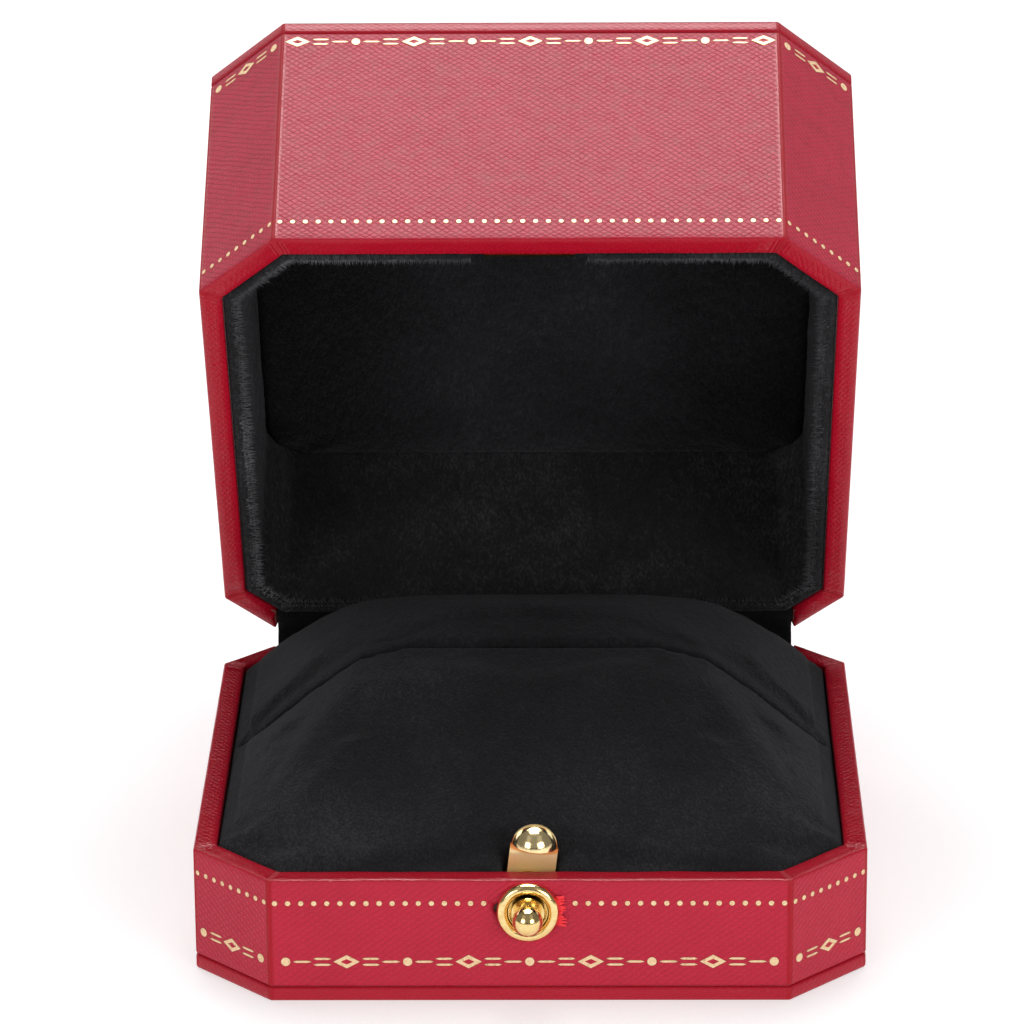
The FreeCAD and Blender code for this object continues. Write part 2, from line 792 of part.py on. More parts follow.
def latch_tongue():
    """Moving end of the strip, with a half-round top and a tooth pressed out of it."""
    disc_centre = "(latch_top - tooth_radius)"
    strip = latch_block(
        "latch_strip",
        ("-latch_width/2", LATCH_FACE, "bend_height"),
        ("latch_width/2", f"{LATCH_FACE} + latch_gauge", disc_centre),
    )
    top = rod(
        "latch_round_top", "Y", ("latch_shift", LATCH_FACE, disc_centre), "latch_gauge",
        "tooth_radius")
    centre = ("latch_shift", f"{LATCH_FACE} + tooth_centre_depth", disc_centre)
    dome = ball("tooth_dome", centre, "tooth_radius")
    above_ledge = latch_block(
        "tooth_envelope",
        ("-latch_width", f"{LATCH_FACE} - tooth_radius", "tooth_ledge"),
        ("latch_width", f"{LATCH_FACE} + latch_gauge", "latch_top"),
    )
    tooth = doc.addObject("Part::MultiCommon", "tooth_pressed")
    tooth.Shapes = [dome, above_ledge]
    hollow_ball = ball("tooth_hollow_ball", centre, "tooth_radius - latch_gauge")
    hollow = doc.addObject("Part::MultiCommon", "tooth_hollow")
    hollow.Shapes = [hollow_ball, above_ledge]
    clearance = latch_bend("latch_bend_clearance", "bend_room")
    blank = joined("latch_tongue_blank", strip, top, tooth)
    return without("latch_tongue", blank, hollow, clearance)


def lean_sideways(piece):
    """The latch strip was nailed on askew: tilt it about the point where it leaves the rim."""
    pivot = Vector(value_of("latch_shift"), 0, value_of(RIM))
    leaning = Rotation(Vector(0, 1, 0), value_of("latch_lean"))
    return moved(piece, "_upright", Placement(Vector(), leaning, pivot))


def striker_nails():
    nails = []
    for side, sign in (("left", "-"), ("right", "+")):
        nails.append(nail(
            f"striker_nail_{side}", f"({sign}striker_nail_spacing/2)",
            f"{FRONT_INSIDE} + striker_gauge", "striker_nail_height", "-",
            "foot_nail_radius", "foot_nail_head_radius"))
    return group("striker_nails", *nails)


def striker_plate(nails):
    """Brass plate on the lid's front wall; the tooth catches over its slot's lower lip."""
    plate = block(
        "striker_blank",
        ("-striker_half", FRONT_INSIDE, "striker_bottom"),
        ("striker_half", f"{FRONT_INSIDE} + striker_gauge", "striker_top"),
    )
    slot = block(
        "striker_slot",
        ("slot_left", f"{FRONT_INSIDE} - skin", "slot_bottom"),
        ("slot_right", f"{FRONT_INSIDE} + 2*striker_gauge", "slot_top"),
    )
    return without("striker_plate", plate, slot, nails)


# ---------------------------------------------------------------- the whole box


def build_base():
    leaf_nails = hinge_nails("hinge_nails_base", f"{RIM} - nail_drop")
    upright_nails = latch_foot_nails()
    upright_latch = [latch_foot(upright_nails), upright_nails, latch_tongue()]
    foot, foot_nails, tongue = [lean_sideways(piece) for piece in upright_latch]
    core, cover = board_with_cover("base", BOARD_TOP, "0")
    frame, wrap = base_walls(leaf_nails, foot_nails)
    cloth_low = f"{RIM} - leaf_offset"
    nodes = [core, cover, frame, wrap, *cushion(), eyelet(), eyelet_washer(), foot, foot_nails]
    nodes += [base_leaf(leaf_nails), leaf_nails, hinge_pin(), hinge_springs()]
    nodes += [hinge_cloth("hinge_cloth_base", cloth_low, f"{cloth_low} + cloth_gauge")]
    nodes += [spine_cover(), push_button(), tongue]
    return nodes


def build_lid():
    leaf_nails = hinge_nails("hinge_nails_lid", f"{RIM} + nail_drop")
    plate_nails = striker_nails()
    core, cover = board_with_cover("lid", LID_BOARD_BOTTOM, LID_TOP)
    frame, wrap = lid_walls(leaf_nails, plate_nails)
    window = block(
        "lining_window",
        ("-lining_window_half", f"{FRONT_INSIDE} - skin", RIM),
        ("lining_window_half", f"{FRONT_INSIDE} + 2*lining", "lining_window_top"),
    )
    leaf_room = block(
        "lining_leaf_room",
        ("-leaf_half - skin", f"{BACK_INSIDE} - leaf_gauge - nail_head - skin/4", RIM),
        ("leaf_half + skin", f"{BACK_INSIDE} + skin", f"{RIM} + leaf_offset + leaf_leg + skin"),
    )
    cloth_high = f"{RIM} + leaf_offset"
    nodes = [core, cover, frame, wrap, *lid_lining(window, leaf_room), *lid_pad()]
    nodes += [lid_leaf(leaf_nails), leaf_nails]
    nodes += [hinge_cloth("hinge_cloth_lid", f"{cloth_high} - cloth_gauge", cloth_high)]
    nodes += [striker_plate(plate_nails), plate_nails]
    return nodes


def open_lid(nodes):
    """Turn the finished lid pieces from closed to open about the hinge's axis."""
    axis = Vector(0, value_of(AXIS_Y), value_of(AXIS_Z))
    turn = Rotation(Vector(1, 0, 0), -value_of("open_angle"))
    return [moved(node, "_closed", Placement(Vector(), turn, axis)) for node in nodes]


def check_and_write(nodes):
    failed = [obj.Label for obj in doc.Objects if {"Invalid", "Error"} & set(obj.State)]
    failed += [obj.Label for obj in nodes if obj.Shape.isNull() or not obj.Shape.isValid()]
    if failed:
        raise RuntimeError("failed: " + ", ".join(failed))
    os.makedirs("parts", exist_ok=True)
    for node in nodes:
        node.Shape.exportStep(f"parts/{node.Label}.step")
        print(f"{node.Label}: {len(node.Shape.Solids)} solids, {node.Shape.Volume:.1f} mm3")


fill_sheet()
all_nodes = build_base() + open_lid(build_lid())
doc.recompute()
check_and_write(all_nodes)
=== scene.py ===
import itertools
import json
import math

import bmesh
import bpy
from mathutils import Matrix, Vector, noise


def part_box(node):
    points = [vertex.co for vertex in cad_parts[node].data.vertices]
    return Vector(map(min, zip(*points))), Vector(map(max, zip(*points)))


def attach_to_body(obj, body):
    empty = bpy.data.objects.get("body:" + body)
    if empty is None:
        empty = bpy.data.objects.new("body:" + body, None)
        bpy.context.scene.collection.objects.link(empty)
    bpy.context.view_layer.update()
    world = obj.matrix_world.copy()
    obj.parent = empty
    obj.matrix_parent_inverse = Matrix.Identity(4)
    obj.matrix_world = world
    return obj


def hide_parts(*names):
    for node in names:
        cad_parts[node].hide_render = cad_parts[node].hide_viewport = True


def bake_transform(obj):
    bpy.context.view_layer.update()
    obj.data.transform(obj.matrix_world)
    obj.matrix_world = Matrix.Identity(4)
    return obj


# Looks of an eight-sided ring box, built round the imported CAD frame.
# Helper shapes are worked out in millimetres with the lid closed, then scaled to metres,
# and the lid's own pieces are turned open about the hinge as the last step.

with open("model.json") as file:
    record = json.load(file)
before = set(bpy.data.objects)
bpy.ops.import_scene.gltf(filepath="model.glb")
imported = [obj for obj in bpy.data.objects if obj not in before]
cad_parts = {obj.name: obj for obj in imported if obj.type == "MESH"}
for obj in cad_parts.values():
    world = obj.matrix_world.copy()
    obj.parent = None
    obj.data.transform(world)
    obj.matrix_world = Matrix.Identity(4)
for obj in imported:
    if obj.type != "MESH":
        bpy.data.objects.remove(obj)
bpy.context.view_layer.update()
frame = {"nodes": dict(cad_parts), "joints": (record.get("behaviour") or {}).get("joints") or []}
NODES = frame["nodes"]
MM = 0.001

WALL_LOW, WALL_HIGH = (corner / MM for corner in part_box("base_wrap"))
HALF_X = WALL_HIGH.x
HALF_Y = WALL_HIGH.y
RIM = WALL_HIGH.z
BOARD = WALL_LOW.z
HINGE = next(joint for joint in frame["joints"] if joint["name"] == "lid_hinge")
AXIS = Vector(HINGE["pos_m"]) / MM
OPEN_ANGLE = math.radians(-60)
FRONT_CORNER = 10.3
BACK_CORNER = 6.8
CORNER_SHRINK = 2 - math.sqrt(2)
WALL = 3.0
LID_HEIGHT = 40.3
LID_TOP = RIM + LID_HEIGHT
LID_BOARD = LID_TOP - BOARD
NOTCH_HALF = 36.9
RIM_DROP = 1.0
BUTTON = Vector((-0.2, -HALF_Y, 12.9))
EYELET_TUBE = 2.85
GROOVE = 0.4
SIDES = 8
FRONT = 0
BACK = 4
EIGHTH = math.radians(45)
FOLD_REACH = 0.32
RIM_FOLD = 0.75
ARC_STEPS = 3
FINE_STEPS = 9


def opened(point, angle=OPEN_ANGLE):
    """A point of the closed lid, turned to where the lid stands open."""
    return AXIS + Matrix.Rotation(angle, 3, "X") @ (Vector(point) - AXIS)


def shut(point):
    """A point of the open lid, turned back to where it is when the lid is closed."""
    return opened(point, -OPEN_ANGLE)


# ---- mesh helpers


def smooth_step(low, high, value):
    share = min(max((value - low) / (high - low), 0.0), 1.0)
    return share * share * (3 - 2 * share)


def add_object(name, data):
    obj = bpy.data.objects.new(name, data)
    bpy.context.scene.collection.objects.link(obj)
    return obj


def finish_mesh(bm, name, material, lid=False, smooth=True):
    """Mesh in millimetres to an object in metres, its faces turned outwards."""
    bmesh.ops.recalc_face_normals(bm, faces=bm.faces)
    for vertex in bm.verts:
        place = opened(vertex.co) if lid else vertex.co
        vertex.co = place * MM
    for face in bm.faces:
        face.smooth = smooth
    mesh = bpy.data.meshes.new(name)
    bm.to_mesh(mesh)
    bm.free()
    if material:
        mesh.materials.append(material)
    return add_object(name, mesh)


def attach(piece, body, slot, *nodes):
    """Let a piece ride on a body and stand for CAD nodes, which it hides. slot is not used."""
    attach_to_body(piece, body)
    if nodes:
        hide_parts(*nodes)


def add_modifier(obj, kind, **settings):
    modifier = obj.modifiers.new(kind.lower(), kind)
    for key, value in settings.items():
        setattr(modifier, key, value)
    return modifier


def apply_modifiers(obj):
    """Replace the object's mesh with what its modifiers make of it."""
    bpy.context.view_layer.update()
    graph = bpy.context.evaluated_depsgraph_get()
    final = bpy.data.meshes.new_from_object(obj.evaluated_get(graph), depsgraph=graph)
    final.name = obj.name
    old = obj.data
    obj.modifiers.clear()
    obj.data = final
    bpy.data.meshes.remove(old)
    return obj


def corners(inset):
    """Corners of the box's outline, moved inwards, anticlockwise from the front left."""
    x, y = HALF_X - inset, HALF_Y - inset
    front = FRONT_CORNER - inset * CORNER_SHRINK
    back = BACK_CORNER - inset * CORNER_SHRINK
    places = [(front - x, -y), (x - front, -y), (x, front - y), (x, y - back),
              (x - back, y), (back - x, y), (-x, y - back), (-x, front - y)]
    return [Vector(place) for place in places]


def wall_side(side, inset=0):
    """Start, end, direction, outward normal and length of one side of the outline."""
    places = corners(inset)
    start, end = places[side], places[(side + 1) % SIDES]
    along = (end - start).normalized()
    return start, end, along, Vector((along.y, -along.x)), (end - start).length


OUTER_SIDES = [wall_side(side) for side in range(SIDES)]


def side_stations(length, fine, coarse):
    """Shares of a side's length at which to place points, close together near its ends."""
    ends = [fine * step for step in range(FINE_STEPS)] if fine else [0.0]
    middle = length - 2 * ends[-1]
    count = max(2, round(middle / coarse))
    inner = [ends[-1] + middle * step / count for step in range(1, count)]
    every = ends + inner + [length - end for end in reversed(ends)]
    return [place / length for place in every]


class Outline:
    """The way points are spread round the box, the same at every inset."""

    def __init__(self, fine, coarse, radius):
        self.sides = []
        distance = 0.0
        for *_, length in OUTER_SIDES:
            length -= 2 * radius * math.tan(EIGHTH / 2)
            self.sides.append((distance, length, side_stations(length, fine, coarse)))
            distance += length + radius * EIGHTH
        self.radius = radius
        self.total = distance

    def loop(self, inset, radius):
        """Points round the box with rounded corners, each with its distance along."""
        points = []
        for side, (distance, length, shares) in enumerate(self.sides):
            start, end, along, out, whole = wall_side(side, inset)
            inwards = -out
            cut = along * radius * math.tan(EIGHTH / 2)
            start, end = start + cut, end - cut
            points += [(start.lerp(end, share), distance + share * length) for share in shares]
            centre = end + inwards * radius
            for step in range(1, ARC_STEPS):
                turn = Matrix.Rotation(EIGHTH * step / ARC_STEPS, 2)
                rounded = centre - turn @ inwards * radius
                arc = self.radius * EIGHTH * step / ARC_STEPS
                points.append((rounded, distance + length + arc))
        return points


def fold_at(inset, from_corner, is_wall):
    """How far the cloth is bent here: 0 on a plain face, 0.75 on a rim, 1 along an edge."""
    edge = math.exp(-(from_corner / FOLD_REACH) ** 2)
    if is_wall:
        return max(edge, RIM_FOLD if 0.05 < inset < WALL + 0.01 else 0.0)
    if inset > 1:
        return 0.0
    return RIM_FOLD if inset > 0.05 else max(edge, 0.5)


def sweep(name, outline, profile, material, shape=None, lid=False, closed=True):
    """Sweep (inset, height, corner radius) stations round the box. A closed profile makes a
    ring, an open one a slab with flat ends. shape may move each point."""
    bm = bmesh.new()
    grain = bm.loops.layers.uv.new("grain")
    fold = bm.verts.layers.float.new("fold")
    rings, heights, travelled = [], [], 0.0
    for number, (inset, height, radius) in enumerate(profile):
        if number:
            before = profile[number - 1]
            travelled += math.hypot(inset - before[0], height - before[1])
        heights.append(travelled)
        ring = []
        for place, distance in outline.loop(inset, radius):
            point = Vector((place.x, place.y, height))
            if shape:
                point = shape(point, inset, distance)
            vertex = bm.verts.new(point)
            vertex[fold] = fold_at(inset, corner_distance(outline, distance), closed)
            ring.append((vertex, distance))
        rings.append(ring)
    count = len(rings[0])
    first, final = profile[0], profile[-1]
    heights.append(travelled + math.hypot(first[0] - final[0], first[1] - final[1]))
    for number in range(len(rings) if closed else len(rings) - 1):
        low, high = rings[number], rings[(number + 1) % len(rings)]
        v_low, v_high = heights[number:number + 2]
        flat = not closed and min(profile[number][0], profile[number + 1][0]) > 0.3
        for step in range(count):
            following = (step + 1) % count
            u_start, u_end = low[step][1], low[following][1] if following else outline.total
            face = bm.faces.new((low[step][0], low[following][0],
                                 high[following][0], high[step][0]))
            texture = ((u_start, v_low), (u_end, v_low), (u_end, v_high), (u_start, v_high))
            for loop, place in zip(face.loops, texture):
                loop[grain].uv = loop.vert.co.xy if flat else place
    if not closed:
        for ring in (rings[0], rings[-1]):
            face = bm.faces.new([vertex for vertex, distance in ring])
            for loop in face.loops:
                loop[grain].uv = loop.vert.co.xy
    return finish_mesh(bm, name, material, lid)


def strip(name, path, half_width, gauge, material, steps, ripple):
    """Band of cloth along a path of (y, z) points at rest, the same all across the box."""
    bm = bmesh.new()
    grain = bm.loops.layers.uv.new("grain")
    points = [Vector(point) for point in path]
    distances, normals = [0.0], []
    for number, point in enumerate(points):
        before = points[max(number - 1, 0)]
        after = points[min(number + 1, len(points) - 1)]
        tangent = (after - before).normalized()
        normals.append(Vector((-tangent.y, tangent.x)))
        if number:
            distances.append(distances[-1] + (point - before).length)
    middle = list(zip(points, normals, distances))
    section = [(point + normal * gauge / 2, distance) for point, normal, distance in middle]
    section += [(point - normal * gauge / 2, distance) for point, normal, distance in middle[::-1]]
    columns = []
    for step in range(steps + 1):
        x = half_width * (2 * step / steps - 1)
        column = []
        for (place, distance), normal in zip(section, normals + normals[::-1]):
            wave = ripple * noise.noise(Vector((x / 9, distance / 4, 3.1)))
            moved = place + normal * wave
            column.append((bm.verts.new((x, moved.x, moved.y)), x, distance))
        columns.append(column)
    count = len(section)

    def add_face(places):
        face = bm.faces.new([vertex for vertex, x, distance in places])
        for loop, (vertex, x, distance) in zip(face.loops, places):
            loop[grain].uv = (x, distance)

    for left, right in zip(columns, columns[1:]):
        for step in range(count):
            after = (step + 1) % count
            add_face((left[step], left[after], right[after], right[step]))
    add_face(columns[0])
    add_face(columns[-1])
    return finish_mesh(bm, name, material), distances[-1]


# ---- materials


class Paint:
    """A new material, with short ways to add nodes to it. An input is a value or a link, and
    solid is the object's own coordinates in millimetres."""

    def __init__(self, name):
        self.material = bpy.data.materials.new(name)
        self.material.use_nodes = True
        self.tree = self.material.node_tree
        place = self.node("ShaderNodeTexCoord").outputs["Object"]
        self.solid = self.vector("SCALE", place, Scale=1 / MM).outputs[0]

    def plug(self, socket, value):
        if isinstance(value, bpy.types.NodeSocket):
            self.tree.links.new(value, socket)
        else:
            socket.default_value = value

    def node(self, kind, settings=None, **inputs):
        """New node; settings are its properties, and inputs its sockets, by name or number."""
        node = self.tree.nodes.new(kind)
        for key, value in (settings or {}).items():
            setattr(node, key, value)
        for key, value in inputs.items():
            self.plug(node.inputs[int(key[1:]) if key[0] == "n" else key], value)
        return node

    def finish(self, **inputs):
        """Set the shader's own sockets and hand over the material."""
        sockets = self.tree.nodes["Principled BSDF"].inputs
        for key, value in inputs.items():
            self.plug(sockets[key.replace("_", " ")], value)
        return self.material

    def maths(self, operation, first, second=0.5, third=0.5):
        return self.node("ShaderNodeMath", {"operation": operation},
                         n0=first, n1=second, n2=third).outputs[0]

    def times(self, first, second):
        return self.maths("MULTIPLY", first, second)

    def times_plus(self, first, second, third):
        return self.maths("MULTIPLY_ADD", first, second, third)

    def vector(self, operation, first, **inputs):
        return self.node("ShaderNodeVectorMath", {"operation": operation}, n0=first, **inputs)

    def part(self, vector, axis):
        return self.node("ShaderNodeSeparateXYZ", Vector=vector).outputs[axis]

    def ramp(self, value, stops):
        """Colour ramp through (position, colour) stops."""
        node = self.node("ShaderNodeValToRGB", n0=value)
        elements = node.color_ramp.elements
        while len(elements) < len(stops):
            elements.new(0.5)
        for element, (position, colour) in zip(elements, stops):
            element.position = position
            element.color = (*colour, 1)
        return node.outputs[0]

    def mix(self, factor, first, second, blend="MIX"):
        return self.node("ShaderNodeMix", {"data_type": "RGBA", "blend_type": blend},
                         Factor=factor, n6=first, n7=second).outputs[2]

    def rock(self, vector, scale, detail=2.0, roughness=0.5):
        """Noise value at a scale per unit of the vector."""
        return self.node("ShaderNodeTexNoise", Vector=vector, Scale=scale, Detail=detail,
                         Roughness=roughness).outputs["Fac"]

    def stretched(self, vector, scale, turn=(0, 0, 0)):
        return self.node("ShaderNodeMapping", Vector=vector, Scale=scale,
                         Rotation=turn).outputs[0]

    def bump(self, height, distance, strength=1.0, below=None):
        node = self.node("ShaderNodeBump", Height=height, Strength=strength, Distance=distance)
        if below:
            self.plug(node.inputs["Normal"], below)
        return node.outputs[0]


GRAIN_RISE = 0.75
GRAIN_PITCH = 0.89
GRAIN_SHARPNESS = 0.5


def grain_lines(paint, lines):
    """One family of pressed grooves: low on the groove, high between two of them."""
    wave = paint.maths("ABSOLUTE", paint.maths("SINE", paint.times(lines, math.pi)))
    return paint.maths("POWER", wave, GRAIN_SHARPNESS)


def leatherette(name, light, dark, folded, gloss, relief):
    """Coated paper cloth with an uneven cross-hatched grain, deeper in colour at its folds, its
    grooves painted darker as painted shade.
    """
    p = Paint(name)
    cloth = p.node("ShaderNodeUVMap", {"uv_map": "grain"}).outputs[0]
    fold = p.node("ShaderNodeAttribute", {"attribute_name": "fold"}).outputs["Fac"]
    across = p.times(p.part(cloth, 0), GRAIN_RISE / GRAIN_PITCH)
    up = p.times(p.part(cloth, 1), 1 / GRAIN_PITCH)
    wander = p.times_plus(p.rock(cloth, 0.30), 0.8, up)
    jitter = p.times_plus(p.rock(cloth, 1.9), 0.25, wander)
    falling = grain_lines(p, p.maths("ADD", wander, across))
    rising = grain_lines(p, p.maths("SUBTRACT", jitter, across))
    cells = p.maths("MINIMUM", falling, p.times_plus(rising, 0.85, 0.15))
    pits = p.rock(cloth, 2.3, 2, 0.6)
    pores = p.rock(p.solid, 5.5, 2, 0.7)
    depth = p.times(cells, p.times_plus(p.rock(cloth, 0.45), 1.2, 0.3))
    depth = p.times_plus(pits, 0.6, depth)
    depth = p.times_plus(pores, 0.14, depth)
    puckers = p.rock(p.stretched(cloth, (1.3, 0.22, 1)), 1.0, 3, 0.6)
    puckers = p.times(puckers, p.times(fold, 1.4))
    height = p.times_plus(depth, p.times_plus(fold, -0.85, 1.0), puckers)
    waves = p.bump(p.rock(p.solid, 0.12), 0.15 * MM, 0.6)
    # painted shade: the grain's grooves and pits are coloured darker
    shade = p.times_plus(depth, 0.4, p.times(pores, 0.2))
    colour = p.ramp(shade, [(0.22, dark), (0.54, light)])
    blotch = p.ramp(p.rock(p.solid, 0.11, 3), [(0.3, (0.92,) * 3), (0.7, (1,) * 3)])
    plain = p.mix(1.0, colour, blotch, "MULTIPLY")
    rubbed = p.ramp(fold, [(0.0, (gloss,) * 3), (0.76, (gloss * 0.4,) * 3),
                           (0.95, (gloss + 0.3,) * 3)])
    return p.finish(Base_Color=p.mix(fold, plain, (*folded, 1)),
                    Normal=p.bump(height, relief, 1.0, waves),
                    Roughness=p.times_plus(pores, 0.2, rubbed), Specular_IOR_Level=0.24)


# how far across the box the painted shade at the pad's sides fades in
SIDE_SHADE_REACH = 16.0


def velvet(name, pile, colour, lift, sheen, lean, relief=0.9, shaded=None):
    """Black pile cloth: fine fibres that lie one way, brushed darker and lighter in patches.
    shaded is (centre, reach) across the box: beyond it the cloth is painted darker, a painted
    shade."""
    p = Paint(name)
    lying = p.stretched(p.solid, (1, 1 / lean, 1 / lean), (0.3, 0.2, 0.5))
    fibres = p.rock(lying, 1 / pile, 3, 0.7)
    tufts = p.rock(p.stretched(p.solid, (1, 0.5, 0.6), (0, 0.4, 0.9)), 0.32 / pile)
    brushed = p.rock(p.solid, 0.05, 3, 0.6)
    height = p.times_plus(tufts, 0.7, fibres)
    level = p.times_plus(fibres, 0.75, p.times(brushed, 0.55))
    level = p.times_plus(tufts, 0.2, level)
    # painted shade: the colour darkens away from the middle across the box
    if shaded:
        centre, reach = shaded
        away = p.maths("ABSOLUTE", p.maths("SUBTRACT", p.part(p.solid, 0), centre))
        wavy = p.times_plus(p.rock(p.solid, 0.06), SIDE_SHADE_REACH, away)
        painted_side_shade = p.node("ShaderNodeMapRange", {"interpolation_type": "SMOOTHSTEP"}, n0=wavy,
                      n1=reach, n2=reach + SIDE_SHADE_REACH, n3=0.0, n4=0.16).outputs[0]
        level = p.maths("SUBTRACT", level, painted_side_shade)
    dark = tuple(channel * 0.35 for channel in colour)
    return p.finish(Base_Color=p.ramp(level, [(0.48, dark), (0.78, colour), (1.0, lift)]),
                    Normal=p.bump(height, pile * relief * MM), Roughness=0.95,
                    Specular_IOR_Level=0.05, Sheen_Weight=sheen, Sheen_Roughness=0.45,
                    Sheen_Tint=(0.64, 0.64, 0.68, 1))


TOOTH = (0.65, -36.5, 20.08)
TOOTH_RADIUS = 2.95
TOOTH_SHADE = 0.9
LATCH_LEAN = math.radians(7)


def tooth_reflection_and_shade(p, brass):
    """Colour and metallic share of the latch: its strip is duller than its tooth, and painted
    reddish and dark along the tooth's lower edge: a painted reflection of the red leather and
    painted shade under the tooth."""
    away = p.vector("SUBTRACT", p.solid, n1=TOOTH).outputs[0]
    level = p.stretched(away, (1, 1, 1), (0, -LATCH_LEAN, 0))
    level = p.stretched(level, (1 / TOOTH_RADIUS, 0, 1 / TOOTH_SHADE))
    third = p.times(p.vector("LENGTH", level).outputs["Value"], 1 / 3)
    # painted reflection and painted shade: the reddish dark band just below the tooth
    strip_tint_and_painted_reflection = p.ramp(third, [(0.34, (0.62, 0.22, 0.08)), (0.43, (0.90, 0.50, 0.26)),
                          (0.50, (1, 1, 1)), (1.0, (1.0, 0.88, 0.72))])
    strip_only = p.maths("GREATER_THAN", p.part(away, 1), -0.1)
    return p.mix(strip_only, brass, strip_tint_and_painted_reflection, "MULTIPLY"), p.times_plus(strip_only, -0.55, 1.0)


def metal(name, colour, worn, rough, scratch, dents=0.03, with_tooth_reflection=False):
    """Polished metal with faint handling marks."""
    p = Paint(name)
    cloudy = p.rock(p.solid, 0.9, 4, 0.6)
    lines = p.rock(p.stretched(p.solid, (1, 6, 6), (0.4, 0.7, 0.2)), 2.5, 3, 0.6)
    shade, metallic = p.ramp(cloudy, [(0.3, worn), (0.62, colour)]), 1.0
    if with_tooth_reflection:
        shade, metallic = tooth_reflection_and_shade(p, shade)
    return p.finish(Base_Color=shade, Metallic=metallic,
                    Roughness=p.times_plus(lines, rough * 0.8, rough * 0.6),
                    Normal=p.bump(lines, scratch * MM, 0.5, p.bump(cloudy, dents * MM)))


def foil(name):
    """Hot-stamped gold leaf, a little broken in specks."""
    p = Paint(name)
    specks = p.rock(p.solid, 3.2, 4, 0.65)
    shade = p.ramp(specks, [(0.27, (0.40, 0.15, 0.05)), (0.42, (0.78, 0.54, 0.30)),
                            (0.75, (0.91, 0.70, 0.45))])
    return p.finish(Base_Color=shade, Roughness=p.times_plus(specks, 0.25, 0.42),
                    Normal=p.bump(specks, 0.03 * MM, 0.6), Metallic=0.35)


def board_stock(name, colour, fleck):
    """Pressed grey or brown board, with fibres in it."""
    p = Paint(name)
    fibres = p.rock(p.stretched(p.solid, (0.4, 2, 2)), 1.8, 4, 0.7)
    return p.finish(Base_Color=p.ramp(fibres, [(0.35, fleck), (0.6, colour)]),
                    Normal=p.bump(fibres, 0.05 * MM, 0.5), Roughness=0.9)


def tabletop():
    """White light table: a pale matt sheet with a little light of its own."""
    p = Paint("tabletop")
    soft = p.rock(p.solid, 0.01)
    return p.finish(Base_Color=p.ramp(soft, [(0.3, (0.60, 0.60, 0.605)), (0.7, (0.63,) * 3)]),
                    Roughness=0.8, Specular_IOR_Level=0.1, Emission_Color=(1, 1, 1, 1),
                    Emission_Strength=0.48)


RED = leatherette("red_leatherette", (0.485, 0.012, 0.040), (0.405, 0.008, 0.028),
                  (0.34, 0.002, 0.010), 0.34, 0.10 * MM)
# lid cloth: much darker grooves than the base's, a stronger painted shade in the grain
LID_RED = leatherette("lid_leatherette", (0.470, 0.011, 0.042), (0.215, 0.004, 0.014),
                      (0.34, 0.002, 0.010), 0.40, 0.07 * MM)
FRAY = leatherette("frayed_leatherette", (0.95, 0.045, 0.06), (0.75, 0.025, 0.035),
                   (0.9, 0.04, 0.05), 0.6, 0.03 * MM)
SHORT_PILE = velvet("cushion_velvet", 0.27, (0.0120, 0.0119, 0.0132), (0.030, 0.030, 0.032),
                    0.09, 1.8, 1.1)
# the pad's velvet is painted darker towards its sides: painted shade
LONG_PILE = velvet("pad_velvet", 0.40, (0.0150, 0.0150, 0.0166), (0.034, 0.034, 0.037), 0.10, 3.2,
                   1.2, shaded=(-1.0, 16.0))
PLUSH = velvet("plush_lining", 0.34, (0.0165, 0.0163, 0.0174), (0.050, 0.050, 0.053), 0.08, 2.0,
               1.2)
# loose fibres: much lighter than the lining they stand out of, a painted sheen where light catches
# them
FIBRES_PAINTED_SHEEN = velvet("plush_fibres", 0.30, (0.070, 0.070, 0.073), (0.19, 0.19, 0.20), 0.10, 2.0, 0.2)
# hinge velvet: darker than the cushions' cloth, a painted shade for the gap between lid and base
NECK_CLOTH_PAINTED_SHADE = velvet("hinge_velvet", 0.27, (0.0060, 0.0058, 0.0062), (0.013, 0.013, 0.014), 0.02,
                    1.6)
BRASS = metal("polished_brass", (0.93, 0.72, 0.34), (0.84, 0.58, 0.22), 0.12, 0.01)
# latch brass carries a painted reflection and painted shade under its tooth
LATCH_BRASS = metal("latch_brass", (0.98, 0.78, 0.42), (0.97, 0.75, 0.38), 0.17, 0.003, 0.02,
                    with_tooth_reflection=True)
STEEL = metal("plated_steel", (0.62, 0.61, 0.58), (0.42, 0.40, 0.37), 0.3, 0.02)
GOLD = foil("gold_foil")
# painted shade: the dark ring round each gold mark stands for the shade of the pressed-in edge
DEBOSS_SHADE = leatherette("painted_deboss_shade", (0.20, 0.035, 0.018), (0.10, 0.012, 0.008),
                     (0.2, 0.03, 0.02), 0.4, 0.02 * MM)
GREYBOARD = board_stock("greyboard", (0.30, 0.29, 0.27), (0.18, 0.17, 0.16))
FIBREBOARD = board_stock("fibreboard", (0.16, 0.09, 0.06), (0.08, 0.04, 0.03))

NODE_MATERIALS = (
    (GREYBOARD, ("base_board", "lid_board", "cushion_tray", "lid_lining_card")),
    (FIBREBOARD, ("base_frame", "lid_frame")),
    (BRASS, ("eyelet", "eyelet_washer", "push_button", "latch_foot", "latch_foot_nails",
             "striker_plate", "striker_nails")),
    (LATCH_BRASS, ("latch_tongue",)),
    (STEEL, ("hinge_leaf_base", "hinge_leaf_lid", "hinge_pin", "hinge_springs",
             "hinge_nails_base", "hinge_nails_lid")),
)


def dress_nodes():
    for material, names in NODE_MATERIALS:
        for name in names:
            materials = NODES[name].data.materials
            materials.clear()
            materials.append(material)


# ---- leatherette shell


OUTLINE = Outline(fine=0.16, coarse=2.4, radius=0.5)
CREASE = 0.10
CREASE_REACH = 1.1
CREASE_PITCH = 0.55


